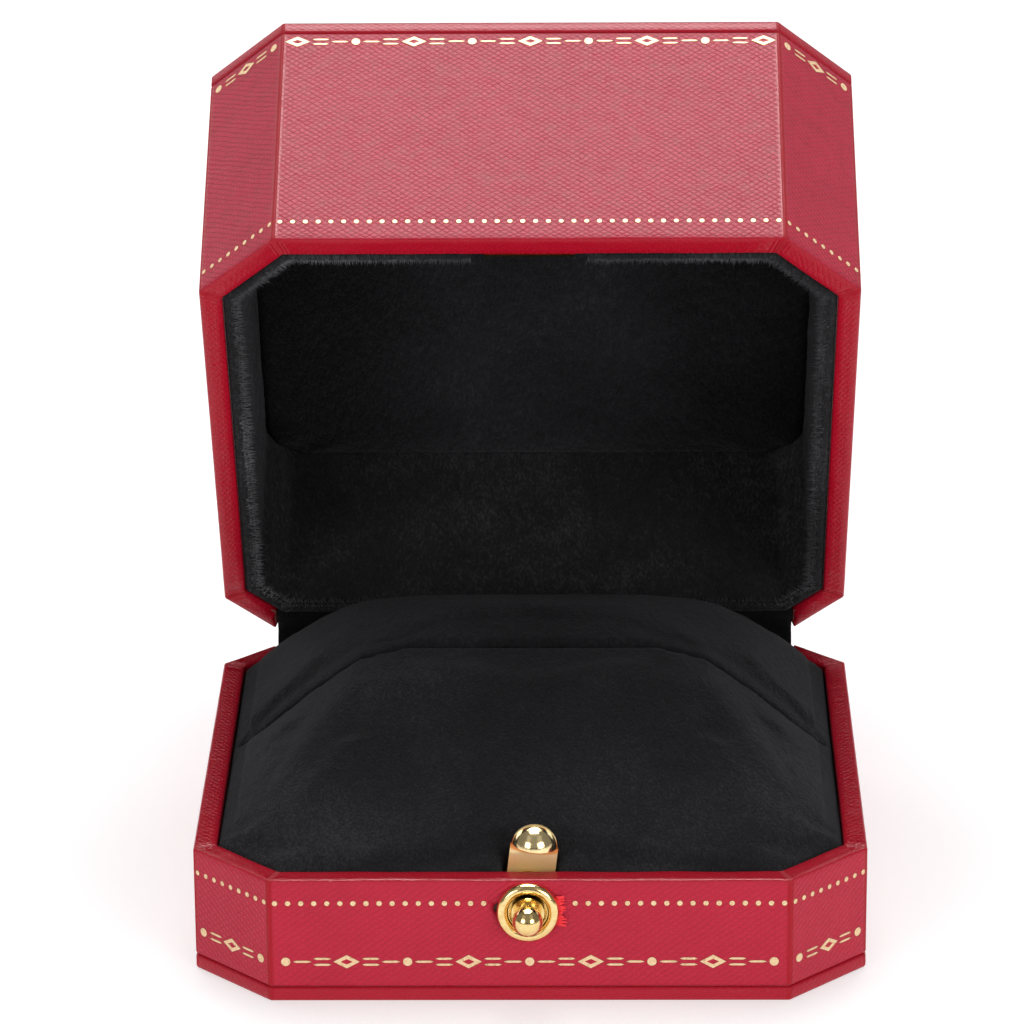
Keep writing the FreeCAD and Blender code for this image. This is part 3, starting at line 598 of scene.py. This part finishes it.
def corner_distance(outline, distance):
    """How far a place along the wall is from the nearest corner."""
    return min(abs(distance - corner) for start, length, shares in outline.sides
               for corner in (start, start + length, start + outline.total))


def crease(distance):
    """Depth of the small folds where the cloth turns over the rim at a corner."""
    away = corner_distance(OUTLINE, distance)
    fade = math.exp(-(away / CREASE_REACH) ** 2)
    return CREASE * fade * (math.cos(2 * math.pi * away / CREASE_PITCH + distance) - 1)


def rim_shape(direction):
    """Moves a wall's rim: folds at the corners, and the drop that makes room for the hinge."""
    def shape(point, inset, distance):
        near_rim = 1 - smooth_step(0.0, 1.6, abs(point.z - RIM))
        over = near_rim * smooth_step(0.1, 0.6, inset) * (1 - smooth_step(WALL - 0.6, WALL, inset))
        point.z += direction * crease(distance) * over
        uneven = 0.09 * noise.noise(Vector((distance / 7, inset, 1.7 + direction))) - 0.06
        point.z += direction * uneven * near_rim
        at_back = smooth_step(HALF_Y - WALL - 3, HALF_Y - WALL - 1, point.y)
        between = 1 - smooth_step(NOTCH_HALF - 0.2, NOTCH_HALF + 0.25, abs(point.x))
        point.z -= direction * RIM_DROP * at_back * between * near_rim
        return point
    return shape


def wall_profile(rim, foot, up):
    """Closed section of a wall from its inner foot over the rim to its outer foot."""
    edge = 0.30
    bevel = 0.3 * edge
    middle = (rim + foot) / 2
    far, near, top, turn = (rim - up * drop for drop in (2.6, 1.2, edge, bevel))
    return [(WALL, foot, 0.3), (WALL, middle, 0.3), (WALL, far, 0.3), (WALL, near, 0.3),
            (WALL, top, 0.3), (WALL - bevel, turn, 0.3), (WALL - edge, rim, 0.35),
            (WALL - 1.0, rim, 0.4), (1.0, rim, 0.45), (edge, rim, 0.5), (bevel, turn, 0.5),
            (0, top, 0.5), (0, near, 0.5), (0, far, 0.5), (0, middle, 0.5),
            (0, foot + up * 1.2, 0.5), (0, foot + up * GROOVE, 0.5),
            (0.13, foot + up * 0.12, 0.5), (GROOVE + 0.05, foot, 0.5)]


def board_profile(outer, inner):
    """Section of a wrapped panel, from the middle of its inner face to that of its outer one."""
    up = 1 if outer > inner else -1
    edge = 0.36
    return [(1.2, inner, 0.5), (GROOVE + 0.1, inner, 0.5), (0.12, inner + up * 0.1, 0.5),
            (0, inner + up * edge, 0.5), (0, outer - up * edge, 0.5),
            (0.11, outer - up * 0.11, 0.5), (edge, outer, 0.5), (1.2, outer, 0.5),
            (1.8, outer, 0.5)]


def cylinder_cutter(name, centre, radius, length):
    """Round bar along Y, used to cut a hole."""
    bm = bmesh.new()
    turn = Matrix.Translation(centre) @ Matrix.Rotation(math.pi / 2, 4, "X")
    bmesh.ops.create_cone(bm, cap_ends=True, segments=48, radius1=radius, radius2=radius,
                          depth=length, matrix=turn)
    return finish_mesh(bm, name, None)


def box_cutter(name, low, high, lid=False):
    bm = bmesh.new()
    bmesh.ops.create_cube(bm, size=1)
    middle, size = (Vector(low) + Vector(high)) / 2, Vector(high) - Vector(low)
    for vertex in bm.verts:
        vertex.co = middle + vertex.co * size
    return finish_mesh(bm, name, None, lid, smooth=False)


def cut(obj, *cutters):
    for cutter in cutters:
        add_modifier(obj, "BOOLEAN", operation="DIFFERENCE", solver="EXACT", object=cutter)
    apply_modifiers(obj)
    for cutter in cutters:
        bpy.data.objects.remove(cutter)


POCKET_LOW = (-2.9, WALL - HALF_Y - 1.4, 19.4)
POCKET_HIGH = (4.6, WALL - HALF_Y + 1.0, 23.8)
NICK_PLACE = Vector((-3.6, 0, 0.25))
NICK_RADIUS = 0.85


def leather_shell():
    """The wrapped walls and boards of the base and the lid."""
    base = sweep("base_wrap_leather", OUTLINE, wall_profile(RIM, BOARD, 1), RED, rim_shape(1))
    tube = cylinder_cutter("tube_cutter", BUTTON, EYELET_TUBE + 0.02, 4 * WALL)
    nick = cylinder_cutter("nick_cutter", BUTTON + NICK_PLACE, NICK_RADIUS, 1.0)
    cut(base, tube, nick)
    lid = sweep("lid_wrap_leather", OUTLINE, wall_profile(RIM, LID_BOARD, -1), LID_RED,
                rim_shape(-1), lid=True)
    cut(lid, box_cutter("pocket_cutter", POCKET_LOW, POCKET_HIGH, lid=True))
    bottom = sweep("base_board_leather", OUTLINE, board_profile(0.0, BOARD), RED, closed=False)
    top = sweep("lid_board_leather", OUTLINE, board_profile(LID_TOP, LID_BOARD), LID_RED,
                lid=True, closed=False)
    for piece, body, node in ((base, "base", "base_wrap"), (lid, "lid", "lid_wrap"),
                              (bottom, "base", "base_board_cover"),
                              (top, "lid", "lid_board_cover")):
        attach(piece, body, "leatherette", node)


# ---- gold tooling


DOT_PITCH = 1.69
DOT_RADIUS = 0.35
DOT_FROM_RIM = 3.3
BAND_PITCH = 15.8
BAND_DOT = 0.6
BASE_BAND_FROM_BOARD = 3.65
LID_BAND_FROM_BOARD = 1.75
PROUD = 0.045
EYELET_REACH = 4.75
LONG_CORNER = 13.0


def widened(outline, amount):
    """The same closed outline with its sides moved outwards."""
    made = []
    for number, here in enumerate(outline):
        before, after = Vector(outline[number - 1]), Vector(outline[(number + 1) % len(outline)])
        here = Vector(here)
        first, second = (here - before).normalized(), (after - here).normalized()
        out = Vector((first.y + second.y, -first.x - second.x))
        made.append(here + out * amount / (1 + first.dot(second)))
    return made


def stamp(bm, side, outer, inner=None):
    """Thin plate on a wall, with a thin dark ring round it: painted shade of the pressed-in edge.
    Its outline is in (distance from the side's middle, height)."""
    start, end, along, out, length = OUTER_SIDES[side]

    def placed(outline, proud):
        flats = [start + along * (length / 2 + point[0]) + out * proud for point in outline]
        return [bm.verts.new((flat.x, flat.y, point[1])) for flat, point in zip(flats, outline)]

    rings = [placed(widened(outer, 0.09), -0.02), placed(outer, PROUD * 0.45),
             placed(widened(outer, -0.04), PROUD)]
    if inner:
        rings += [placed(inner, PROUD * 0.9), placed(inner, -0.02)]
    count = len(outer)
    pairs = list(zip(rings, rings[1:])) + ([(rings[-1], rings[0])] if inner else [])
    for number, (low, high) in enumerate(pairs):
        for step in range(count):
            after = (step + 1) % count
            face = bm.faces.new((low[step], low[after], high[after], high[step]))
            # material 1, on the outer sunk ring, is the painted shade of the pressed-in edge
            face.material_index = 1 if number == 0 else 0
    if inner is None:
        bm.faces.new(rings[-1])
        bm.faces.new(rings[0][::-1])


def disc(x, z, radius, steps=12):
    return [(x + radius * math.cos(2 * math.pi * k / steps),
             z + radius * math.sin(2 * math.pi * k / steps)) for k in range(steps)]


def finish_gold(bm, name, body):
    piece = finish_mesh(bm, name, GOLD, body == "lid", smooth=False)
    # second material: the painted shade round each mark
    piece.data.materials.append(DEBOSS_SHADE)
    attach(piece, body, "brass")


def dotted_line(name, height, body, sides):
    """Row of small gold dots round the walls."""
    bm = bmesh.new()
    for side in sides:
        length = OUTER_SIDES[side][-1]
        count = round(length / DOT_PITCH)
        for step in range(count):
            x = length * ((step + 0.5) / count - 0.5)
            if body == "base" and side == FRONT and abs(x - BUTTON.x) < EYELET_REACH:
                continue
            size = DOT_RADIUS * (1 + 0.08 * noise.noise(Vector((x, side, height))))
            stamp(bm, side, disc(x, height, size))
    finish_gold(bm, name, body)


def bar(x, z, half, thick):
    """Slim bar with pointed ends."""
    point = min(half * 0.35, 0.5)
    return [(x - half, z), (x - half + point, z - thick / 2), (x + half - point, z - thick / 2),
            (x + half, z), (x + half - point, z + thick / 2), (x - half + point, z + thick / 2)]


def lozenge(x, z, half_long, half_high):
    return [(x - half_long, z), (x, z - half_high), (x + half_long, z), (x, z + half_high)]


def lozenge_band(name, height, body):
    """Chain of lozenges, bars and dots: a plain geometric border."""
    bm = bmesh.new()
    for side in range(SIDES):
        length = OUTER_SIDES[side][-1]
        reach = math.floor((length / 2 - 1.6) / (BAND_PITCH / 2))
        short = length < BAND_PITCH
        for step in range(-reach, reach + 1):
            x = step * BAND_PITCH / 2
            if (step % 2 == 0) == (body == "base") and not short:
                stamp(bm, side, disc(x, height, BAND_DOT, 16))
                pieces = [bar(x + sign * 2.15, height, 1.2, 0.3) for sign in (-1, 1)]
            else:
                stamp(bm, side, lozenge(x, height, 1.7, 0.95), lozenge(x, height, 0.8, 0.4))
                pieces = [bar(x + sign * 3.15, height + rise, 1.15, 0.3)
                          for sign in (-1, 1) for rise in (-0.42, 0.42)]
            if short and length > LONG_CORNER:
                for sign in (-1, 1):
                    stamp(bm, side, disc(sign * 5.6, height, BAND_DOT, 16))
            for piece in pieces:
                if max(abs(point[0]) for point in piece) < length / 2 - 0.25:
                    stamp(bm, side, piece)
    finish_gold(bm, name, body)


def gold_tooling():
    not_back = [side for side in range(SIDES) if side != BACK]
    dotted_line("base_dotted_line", RIM - DOT_FROM_RIM, "base", not_back)
    dotted_line("lid_dotted_line", RIM + DOT_FROM_RIM, "lid", not_back)
    lozenge_band("base_border", BOARD + BASE_BAND_FROM_BOARD, "base")
    lozenge_band("lid_border", LID_BOARD - LID_BAND_FROM_BOARD, "lid")


# ---- soft pieces


SIM_SCALE = 6.0
SIM_FRAMES = 20
SIM_PRESSURE = 4.0
SIM_CAP = 0.5
HELD_CUSHION = 12.0
HELD_PAD = 2.5
SOFT_NODES = {"cushion_front": ("cushion_velvet_front", "cushion_foam_front"),
              "cushion_back": ("cushion_velvet_back", "cushion_foam_back"),
              "lid_pad": ("lid_pad_velvet", "lid_pad_foam")}
CLOTH = {"use_pressure": True, "vertex_group_mass": "held", "tension_stiffness": 25,
         "compression_stiffness": 25, "bending_stiffness": 2.5, "mass": 0.3, "quality": 4}


def hull_of(name, material, extra=()):
    """Closed convex form round the points of a soft piece's CAD nodes, and any extra points."""
    bm = bmesh.new()
    for node in SOFT_NODES[name]:
        for vertex in NODES[node].data.vertices:
            bm.verts.new(vertex.co / MM)
    for place in extra:
        bm.verts.new(place)
    bmesh.ops.remove_doubles(bm, verts=bm.verts, dist=0.01)
    made = bmesh.ops.convex_hull(bm, input=bm.verts)
    inside = [item for item in made["geom_interior"] if isinstance(item, bmesh.types.BMVert)]
    bmesh.ops.delete(bm, geom=inside, context="VERTS")
    return finish_mesh(bm, name, material)


def remeshed(obj, voxel, smoothing):
    add_modifier(obj, "REMESH", mode="VOXEL", voxel_size=voxel * MM)
    add_modifier(obj, "SMOOTH", factor=0.5, iterations=smoothing)
    return apply_modifiers(obj)


def softened(obj, weight, rounds):
    """Smooth a form where weight(place in millimetres) says so."""
    group = obj.vertex_groups.new(name="soft")
    for vertex in obj.data.vertices:
        group.add([vertex.index], weight(vertex.co / MM), "REPLACE")
    add_modifier(obj, "SMOOTH", factor=0.5, iterations=rounds, vertex_group="soft")
    apply_modifiers(obj)
    obj.vertex_groups.clear()


def held(piece, place):
    """Whether the cloth simulation leaves a point, in millimetres, where it is."""
    if piece.name == "lid_pad":
        return shut(place).z > LID_BOARD - HELD_PAD
    return place.z < HELD_CUSHION


def plump(pieces):
    """Blow the pieces up a little with a cloth simulation, and keep its result."""
    scene = bpy.context.scene
    copies = []
    for piece in pieces:
        copy = piece.copy()
        copy.data = piece.data.copy()
        copy.data.transform(Matrix.Scale(SIM_SCALE, 4))
        scene.collection.objects.link(copy)
        group = copy.vertex_groups.new(name="held")
        fixed = [v.index for v in piece.data.vertices if held(piece, v.co / MM)]
        group.add(fixed, 1.0, "REPLACE")
        cloth = add_modifier(copy, "CLOTH")
        for key, value in CLOTH.items():
            setattr(cloth.settings, key, value)
        cloth.settings.uniform_pressure_force = SIM_PRESSURE
        cloth.settings.effector_weights.gravity = 0
        cloth.collision_settings.use_self_collision = False
        cloth.collision_settings.use_collision = False
        cloth.point_cache.frame_start = 1
        cloth.point_cache.frame_end = SIM_FRAMES
        copies.append((piece, copy))
    for number in range(1, SIM_FRAMES + 1):
        scene.frame_set(number)
    graph = bpy.context.evaluated_depsgraph_get()
    for piece, copy in copies:
        moved = copy.evaluated_get(graph).data.vertices
        for vertex, after in zip(piece.data.vertices, moved):
            step = after.co / SIM_SCALE - vertex.co
            if step.length > SIM_CAP * MM:
                step = step.normalized() * SIM_CAP * MM
            vertex.co = vertex.co + step
        piece.data.update()
        bpy.data.objects.remove(copy)
    scene.frame_set(1)


def refine(obj):
    add_modifier(obj, "SUBSURF", levels=1, render_levels=1)
    apply_modifiers(obj)
    for polygon in obj.data.polygons:
        polygon.use_smooth = True


CUSHION_CLEAR = 0.12
LID_ROOM = 2.25
CUSHION_SHOULDER = 17.0
SLOT_MIDDLE = 3.4
SLOT_HALF = 0.10
LATCH_X = 0.1
LATCH_HALF = 3.7
LATCH_FOOT = 11.0
LATCH_BEHIND = -33.6
PAD_EDGE = WALL + 1.0
PAD_REACH = WALL + 9.0


def wall_inset(point):
    """How far a point is inside the box's outline, and the outward direction there."""
    found = [((start - point.xy).dot(out), out) for start, end, along, out, length in OUTER_SIDES]
    return min(found, key=lambda pair: pair[0])


def tuck(piece):
    """Keep a cushion just inside the base's walls, and clear of the closed lid's lining."""
    for vertex in piece.data.vertices:
        place = vertex.co / MM
        depth, out = wall_inset(place)
        room = WALL + CUSHION_CLEAR + LID_ROOM * min(max((place.z - RIM + 0.4) / 1.7, 0), 1)
        if depth < room:
            place.xy = place.xy - out * (room - depth)
        if abs(place.x - LATCH_X) < LATCH_HALF and LATCH_FOOT < place.z:
            place.y = max(place.y, LATCH_BEHIND)
        vertex.co = place * MM


def spread(piece):
    """Stretch the rim of the lid's pad outwards until it meets the walls round it."""
    found = []
    for vertex in piece.data.vertices:
        place = shut(vertex.co / MM)
        found.append((vertex, place, *wall_inset(place)))
    nearest = min(item[2] for item in found)
    for vertex, place, depth, out in found:
        if depth < PAD_REACH:
            grown = (PAD_REACH - PAD_EDGE) / (PAD_REACH - nearest)
            wanted = PAD_EDGE + (depth - nearest) * grown
            place.xy = place.xy + out * (depth - wanted)
            vertex.co = opened(place) * MM


def fill_edge(piece):
    """Press the foot of a cushion out against the base's walls, up to its shoulder."""
    for vertex in piece.data.vertices:
        place = vertex.co / MM
        depth, out = wall_inset(place)
        if depth > WALL + 3 or place.y > HALF_Y - WALL - 2:
            continue
        amount = smooth_step(9, 13, place.z) * (1 - smooth_step(16.6, 17.0, place.z))
        gap = depth - WALL - CUSHION_CLEAR
        place.xy = place.xy + out * gap * amount * 0.9 * (1 - smooth_step(0.8, 3, gap))
        vertex.co = place * MM


def ring_cushion():
    """Two velvet-covered blocks with the ring slot between them."""
    halves = []
    for name, near in (("cushion_front", -1), ("cushion_back", 1)):
        edge = []
        for place in corners(WALL + CUSHION_CLEAR):
            if place.y * near > 0:
                y = min(place.y, HALF_Y - WALL - 1.1)
                edge += [(place.x, y, CUSHION_SHOULDER), (place.x, SLOT_MIDDLE, CUSHION_SHOULDER)]
        halves.append(hull_of(name, SHORT_PILE, edge))
    front, back = halves
    left, right = LATCH_X - LATCH_HALF, LATCH_X + LATCH_HALF
    cut(front,
        box_cutter("notch_cutter", (left, -HALF_Y, LATCH_FOOT), (right, LATCH_BEHIND, 40)),
        box_cutter("foot_cutter", (left - 1.5, -HALF_Y, 0),
                   (right + 1.5, LATCH_BEHIND + 0.9, LATCH_FOOT + 0.6)))
    for piece, near in ((front, -1), (back, 1)):
        remeshed(piece, 0.85, 4)
        softened(piece, lambda place: smooth_step(0.8, 5.0, (place.y - SLOT_MIDDLE) * near)
                 * smooth_step(CUSHION_SHOULDER - 1.5, CUSHION_SHOULDER + 3, place.z), 45)
        for vertex in piece.data.vertices:
            away = (vertex.co.y / MM - SLOT_MIDDLE) * near
            if away < 1.6:
                vertex.co.y -= near * MM * (away - SLOT_HALF) * (1 - smooth_step(0.4, 1.6, away))
        tuck(piece)
    return front, back


def lid_panel():
    """Padded velvet panel under the lid's top."""
    pad = remeshed(hull_of("lid_pad", LONG_PILE), 1.2, 22)
    spread(pad)
    return pad


CATCH_HALF = 7.1
CATCH_TOP = 27.1
CATCH_EDGE = 0.6


def lining_shape(point, inset, distance):
    """Plush on the lid's walls: nap, and the window round the catch plate."""
    inside = smooth_step(WALL + 0.15, WALL + 0.9, inset)
    nap = 0.16 * noise.noise(Vector((distance / 0.8, point.z / 0.8, inset)))
    nap += 0.22 * noise.noise(Vector((distance / 3.5, point.z / 3.5, inset + 7)))
    inwards = -Vector((point.x / HALF_X, point.y / HALF_Y, 0)).normalized()
    near_rim = 1 - smooth_step(0.6, 2.4, point.z - RIM)
    point += inwards * nap * inside
    point.z += 0.22 * noise.noise(Vector((distance / 0.7, inset * 2, 5))) * near_rim * inside
    at_catch = 1 - smooth_step(CATCH_HALF, CATCH_HALF + CATCH_EDGE, abs(point.x))
    at_catch *= 1 - smooth_step(CATCH_TOP, CATCH_TOP + CATCH_EDGE, point.z)
    if point.y < 0 and at_catch > 0:
        sunk = WALL / 2 - HALF_Y - 0.2
        point.y += (sunk - point.y) * at_catch
    return point


def lid_lining():
    outline = Outline(fine=0.0, coarse=0.6, radius=0.5)
    low, high = RIM + 0.25, LID_BOARD - 0.3
    roll = ((0.02, 0.9, 0.3), (0.18, 0.35, 0.35), (0.55, 0.08, 0.45), (0.95, 0, 0.6),
            (1.3, 0.12, 0.7), (1.62, 0.42, 0.8), (1.83, 0.85, 0.9), (1.95, 1.4, 1.0), (2, 2.2, 1.0))
    profile = [(WALL + 0.02, high, 0.3)]
    profile += [(WALL + inset, low + rise, radius) for inset, rise, radius in roll]
    profile += [(WALL + 2, low + 3.4 + 1.2 * step, 1.0) for step in range(20)]
    profile += [(WALL + 2, high, 1.0)]
    lining = sweep("lid_plush_lining", outline, profile, PLUSH, lining_shape, lid=True)
    attach(lining, "lid", "velvet", "lid_lining_velvet")


FIBRE_GAP = 0.11
FIBRE_WIDE = 0.06
FIBRE_ROWS = 3
FIBRE_SEED = 1


def plush_fringe():
    """Loose fibres that stand out of the lining along the lid's opening."""
    noise.seed_set(FIBRE_SEED)  # noise_vector takes its offsets from the clock until it is seeded
    bm = bmesh.new()
    number = 0
    for row, side in itertools.product(range(FIBRE_ROWS), range(SIDES)):
        start, end, along, out, length = wall_side(side, WALL)
        along, inwards = along.to_3d(), -out.to_3d()
        for step in range(int(length / FIBRE_GAP)):
            number += 1
            seed = Vector((number * 0.731, row * 3.7, side * 1.9))
            wander = noise.noise_vector(seed)
            depth = 0.7 + 0.55 * row + 0.35 * wander.x
            place = along * (FIBRE_GAP * step + 0.2 * wander.y)
            root = Vector((*start, RIM + 0.42 + 0.14 * row * row)) + place + inwards * depth
            if side == FRONT and abs(root.x) < CATCH_HALF + CATCH_EDGE:
                continue
            lean = inwards * (0.75 + 0.5 * wander.z) + along * 0.8 * wander.y
            lean += Vector((0, 0, 0.5 * noise.noise(seed * 2.3)))
            tip = root + lean * (1.25 + 0.8 * noise.noise(seed * 1.7))
            tip.z = max(tip.z, RIM + 0.12)
            wide, rise = along * FIBRE_WIDE, Vector((0, 0, FIBRE_WIDE))
            base = (root + wide, root - wide * 0.5 + rise, root - wide * 0.5 - rise)
            foot = [bm.verts.new(point) for point in base]
            head = bm.verts.new(tip)
            bm.faces.new(foot)
            for k in range(3):
                bm.faces.new((foot[k], foot[(k + 1) % 3], head))
    fringe = finish_mesh(bm, "lid_plush_fringe", FIBRES_PAINTED_SHEEN, lid=True, smooth=False)
    attach(fringe, "lid", "velvet")


def soft_pieces():
    front, back = ring_cushion()
    pad = lid_panel()
    plump((front, back, pad))
    for piece, body, fill in ((front, "base", 0.9), (back, "base", 0.9), (pad, "lid", 0.8)):
        if body == "base":
            fill_edge(piece)
            tuck(piece)
        else:
            spread(piece)
        refine(piece)
        attach(piece, body, "velvet", *SOFT_NODES[piece.name])


# ---- strips over the hinge


def around_axis(radius, angle):
    """(y, z) on a circle about the hinge; 0 degrees is straight back, 90 straight up."""
    turn = math.radians(angle)
    return AXIS.y + radius * math.cos(turn), AXIS.z + radius * math.sin(turn)


def mirrored(path):
    """The lid's half of a strip: the base's half turned over and opened with the lid."""
    points = [opened((0, y, 2 * AXIS.z - z)) for y, z in reversed(path)]
    return [(point.y, point.z) for point in points]


def arc(radius, start, end, steps):
    return [around_axis(radius, start + (end - start) * step / steps) for step in range(steps + 1)]


def denser(path, step):
    """The same path with points no further apart than step."""
    made = [path[0]]
    for start, end in zip(path, path[1:]):
        gap = math.dist(start, end)
        count = max(1, math.ceil(gap / step))
        for k in range(1, count + 1):
            made.append(tuple(a + (b - a) * (k / count) for a, b in zip(start, end)))
    return made


NECK_HALF = 36.7
NECK_RADIUS = 1.75
NECK_LEVEL = 16.92
NECK_END = 41.3
SPINE_HALF = 36.0
SPINE_RADIUS = 1.95
SPINE_START, SPINE_STOP = -143, 83
STRIP_STEP = 0.6


def hinge_strips():
    """Velvet in front of the hinge and leatherette behind it, both shaped round the hinge with the
    lid open.
    """
    wall = HALF_Y - WALL
    behind = wall - 0.95
    inner = [(behind, 11.0), (behind, 16.0), (behind + 0.12, 16.45), (behind + 0.45, 16.8),
             (behind + 1.0, NECK_LEVEL), (NECK_END, NECK_LEVEL)]
    tucked = [(wall - 0.7, 15.9), (wall - 0.45, 16.6), (wall + 0.2, 16.9), (NECK_END, NECK_LEVEL)]
    path = denser(inner + arc(NECK_RADIUS, 189, 111, 10) + mirrored(tucked), STRIP_STEP)
    velvet_strip, length = strip("hinge_velvet", path, NECK_HALF, 0.3, NECK_CLOTH_PAINTED_SHADE, 110, 0.1)
    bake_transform(velvet_strip)
    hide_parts("hinge_cloth_base", "hinge_cloth_lid")

    skin = HALF_Y + 0.2
    outer = [(skin, 9.2), (skin, 15.1), (skin + 0.12, 15.6), (41.6, 15.92)]
    barrel = arc(SPINE_RADIUS, SPINE_START, SPINE_STOP, 24)
    path = denser(outer + barrel + mirrored(outer), STRIP_STEP)
    spine, length = strip("spine_leather", path, SPINE_HALF, 0.4, RED, 72, 0.06)
    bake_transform(spine)
    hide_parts("spine_cover")


# ---- frayed hole edge


FRAY_COUNT = 25
FRAY_PITCH = 0.165


def frayed_edge():
    """Torn bits of leatherette at the right of the hole, standing out past the eyelet."""
    bm = bmesh.new()
    for number in range(FRAY_COUNT):
        seed = Vector((number * 1.37, 4.2, 0.5))
        height = BUTTON.z + 2.0 - FRAY_PITCH * number + 0.2 * noise.noise(seed)
        start = Vector((BUTTON.x + 3.55, BUTTON.y - 0.02, height))
        reach = 1.1 + 0.8 * noise.noise(seed * 3)
        lift = 0.28 + 0.22 * noise.noise(seed * 5)
        slant = 0.5 * noise.noise(seed * 7)
        loops = []
        for step in range(5):
            share = step / 4
            half = 0.17 * (1 - share * 0.5)
            centre = start + Vector((reach * share, -0.05 - lift * math.sin(share * 2.4),
                                     slant * share))
            loops.append([bm.verts.new(centre + Vector((0, y, z))) for y, z in (
                (0.05, -half), (0.05, half), (-0.05, half), (-0.05, -half))])
        for low, high in zip(loops, loops[1:]):
            for k in range(4):
                bm.faces.new((low[k], low[(k + 1) % 4], high[(k + 1) % 4], high[k]))
        bm.faces.new(loops[0])
        bm.faces.new(loops[-1])
    piece = finish_mesh(bm, "frayed_edge", FRAY)
    attach(piece, "base", "leatherette")


# ---- stage, light and camera


def floor():
    bm = bmesh.new()
    half = 6000.0
    places = [(-half, -half, 0), (half, -half, 0), (half, half, 0), (-half, half, 0)]
    bm.faces.new([bm.verts.new(place) for place in places])
    finish_mesh(bm, "floor", tabletop(), smooth=False)


def softbox(name, place, aim, size, radiance):
    """Square lamp; its power is worked out from how bright its face should look."""
    data = bpy.data.lights.new(name, "AREA")
    data.shape = "SQUARE"
    data.size = size
    data.energy = radiance * math.pi * size * size
    lamp = add_object(name, data)
    lamp.location = place
    lamp.rotation_euler = (Vector(aim) - Vector(place)).to_track_quat("-Z", "Y").to_euler()
    lamp.visible_camera = False
    return lamp


def lights():
    middle, above = (0, 0, 0.05), (0, 0.03, 0.05)
    for name, place, aim, size, radiance, lights_matt in (
            ("overhead", (0, 0.25, 1.1), above, 0.6, 3.25, True),
            ("overhead_shine", (0, 0.25, 1.12), above, 0.66, 14.0, False),
            ("dim_room", (0, -2.4, 2.4), middle, 5.0, 0.26, False),
            ("dim_left", (-3.2, -1.0, 2.2), middle, 5.0, 0.20, False),
            ("dim_right", (3.2, -1.0, 2.2), middle, 5.0, 0.20, False),
            ("front_left", (-0.55, -0.78, 0.34), middle, 0.42, 4.0, True),
            ("front_right", (0.55, -0.78, 0.34), middle, 0.42, 6.2, True),
            ("back_left", (-1.3, 1.2, 0.5), middle, 1.0, 2.0, True),
            ("back_right", (1.3, 1.2, 0.5), middle, 1.0, 1.2, True),
            ("background", (0, 1.3, 1.4), (0, 1.1, 0), 1.6, 1.6, True)):
        softbox(name, place, aim, size, radiance).visible_diffuse = lights_matt
    world = bpy.data.worlds.new("studio")
    world.use_nodes = True
    sky = world.node_tree.nodes["Background"].inputs
    sky["Color"].default_value = (0.97, 0.98, 1, 1)
    sky["Strength"].default_value = 0.38
    world.cycles_visibility.glossy = False
    bpy.context.scene.world = world
    bpy.context.scene.view_settings.view_transform = "Standard"


def camera():
    """Long lens, 20 degrees above the table and nearly face on."""
    target = Vector((-0.00248, -0.00015, 0.05256))
    distance, elevation = 0.712, math.radians(20.27)
    yaw, roll = math.radians(-0.85), math.radians(-0.42)
    forward = Vector((math.sin(yaw) * math.cos(elevation), math.cos(yaw) * math.cos(elevation),
                      -math.sin(elevation)))
    data = bpy.data.cameras.new("camera")
    data.lens = 187.5
    data.clip_start = 0.05
    eye = add_object("camera", data)
    eye.location = target - forward * distance
    turn = forward.to_track_quat("-Z", "Y").to_matrix()
    eye.rotation_euler = (turn @ Matrix.Rotation(roll, 3, "Z")).to_euler()
    bpy.context.scene.camera = eye


dress_nodes()
leather_shell()
gold_tooling()
lid_lining()
plush_fringe()
soft_pieces()
hinge_strips()
frayed_edge()
floor()
lights()
camera()
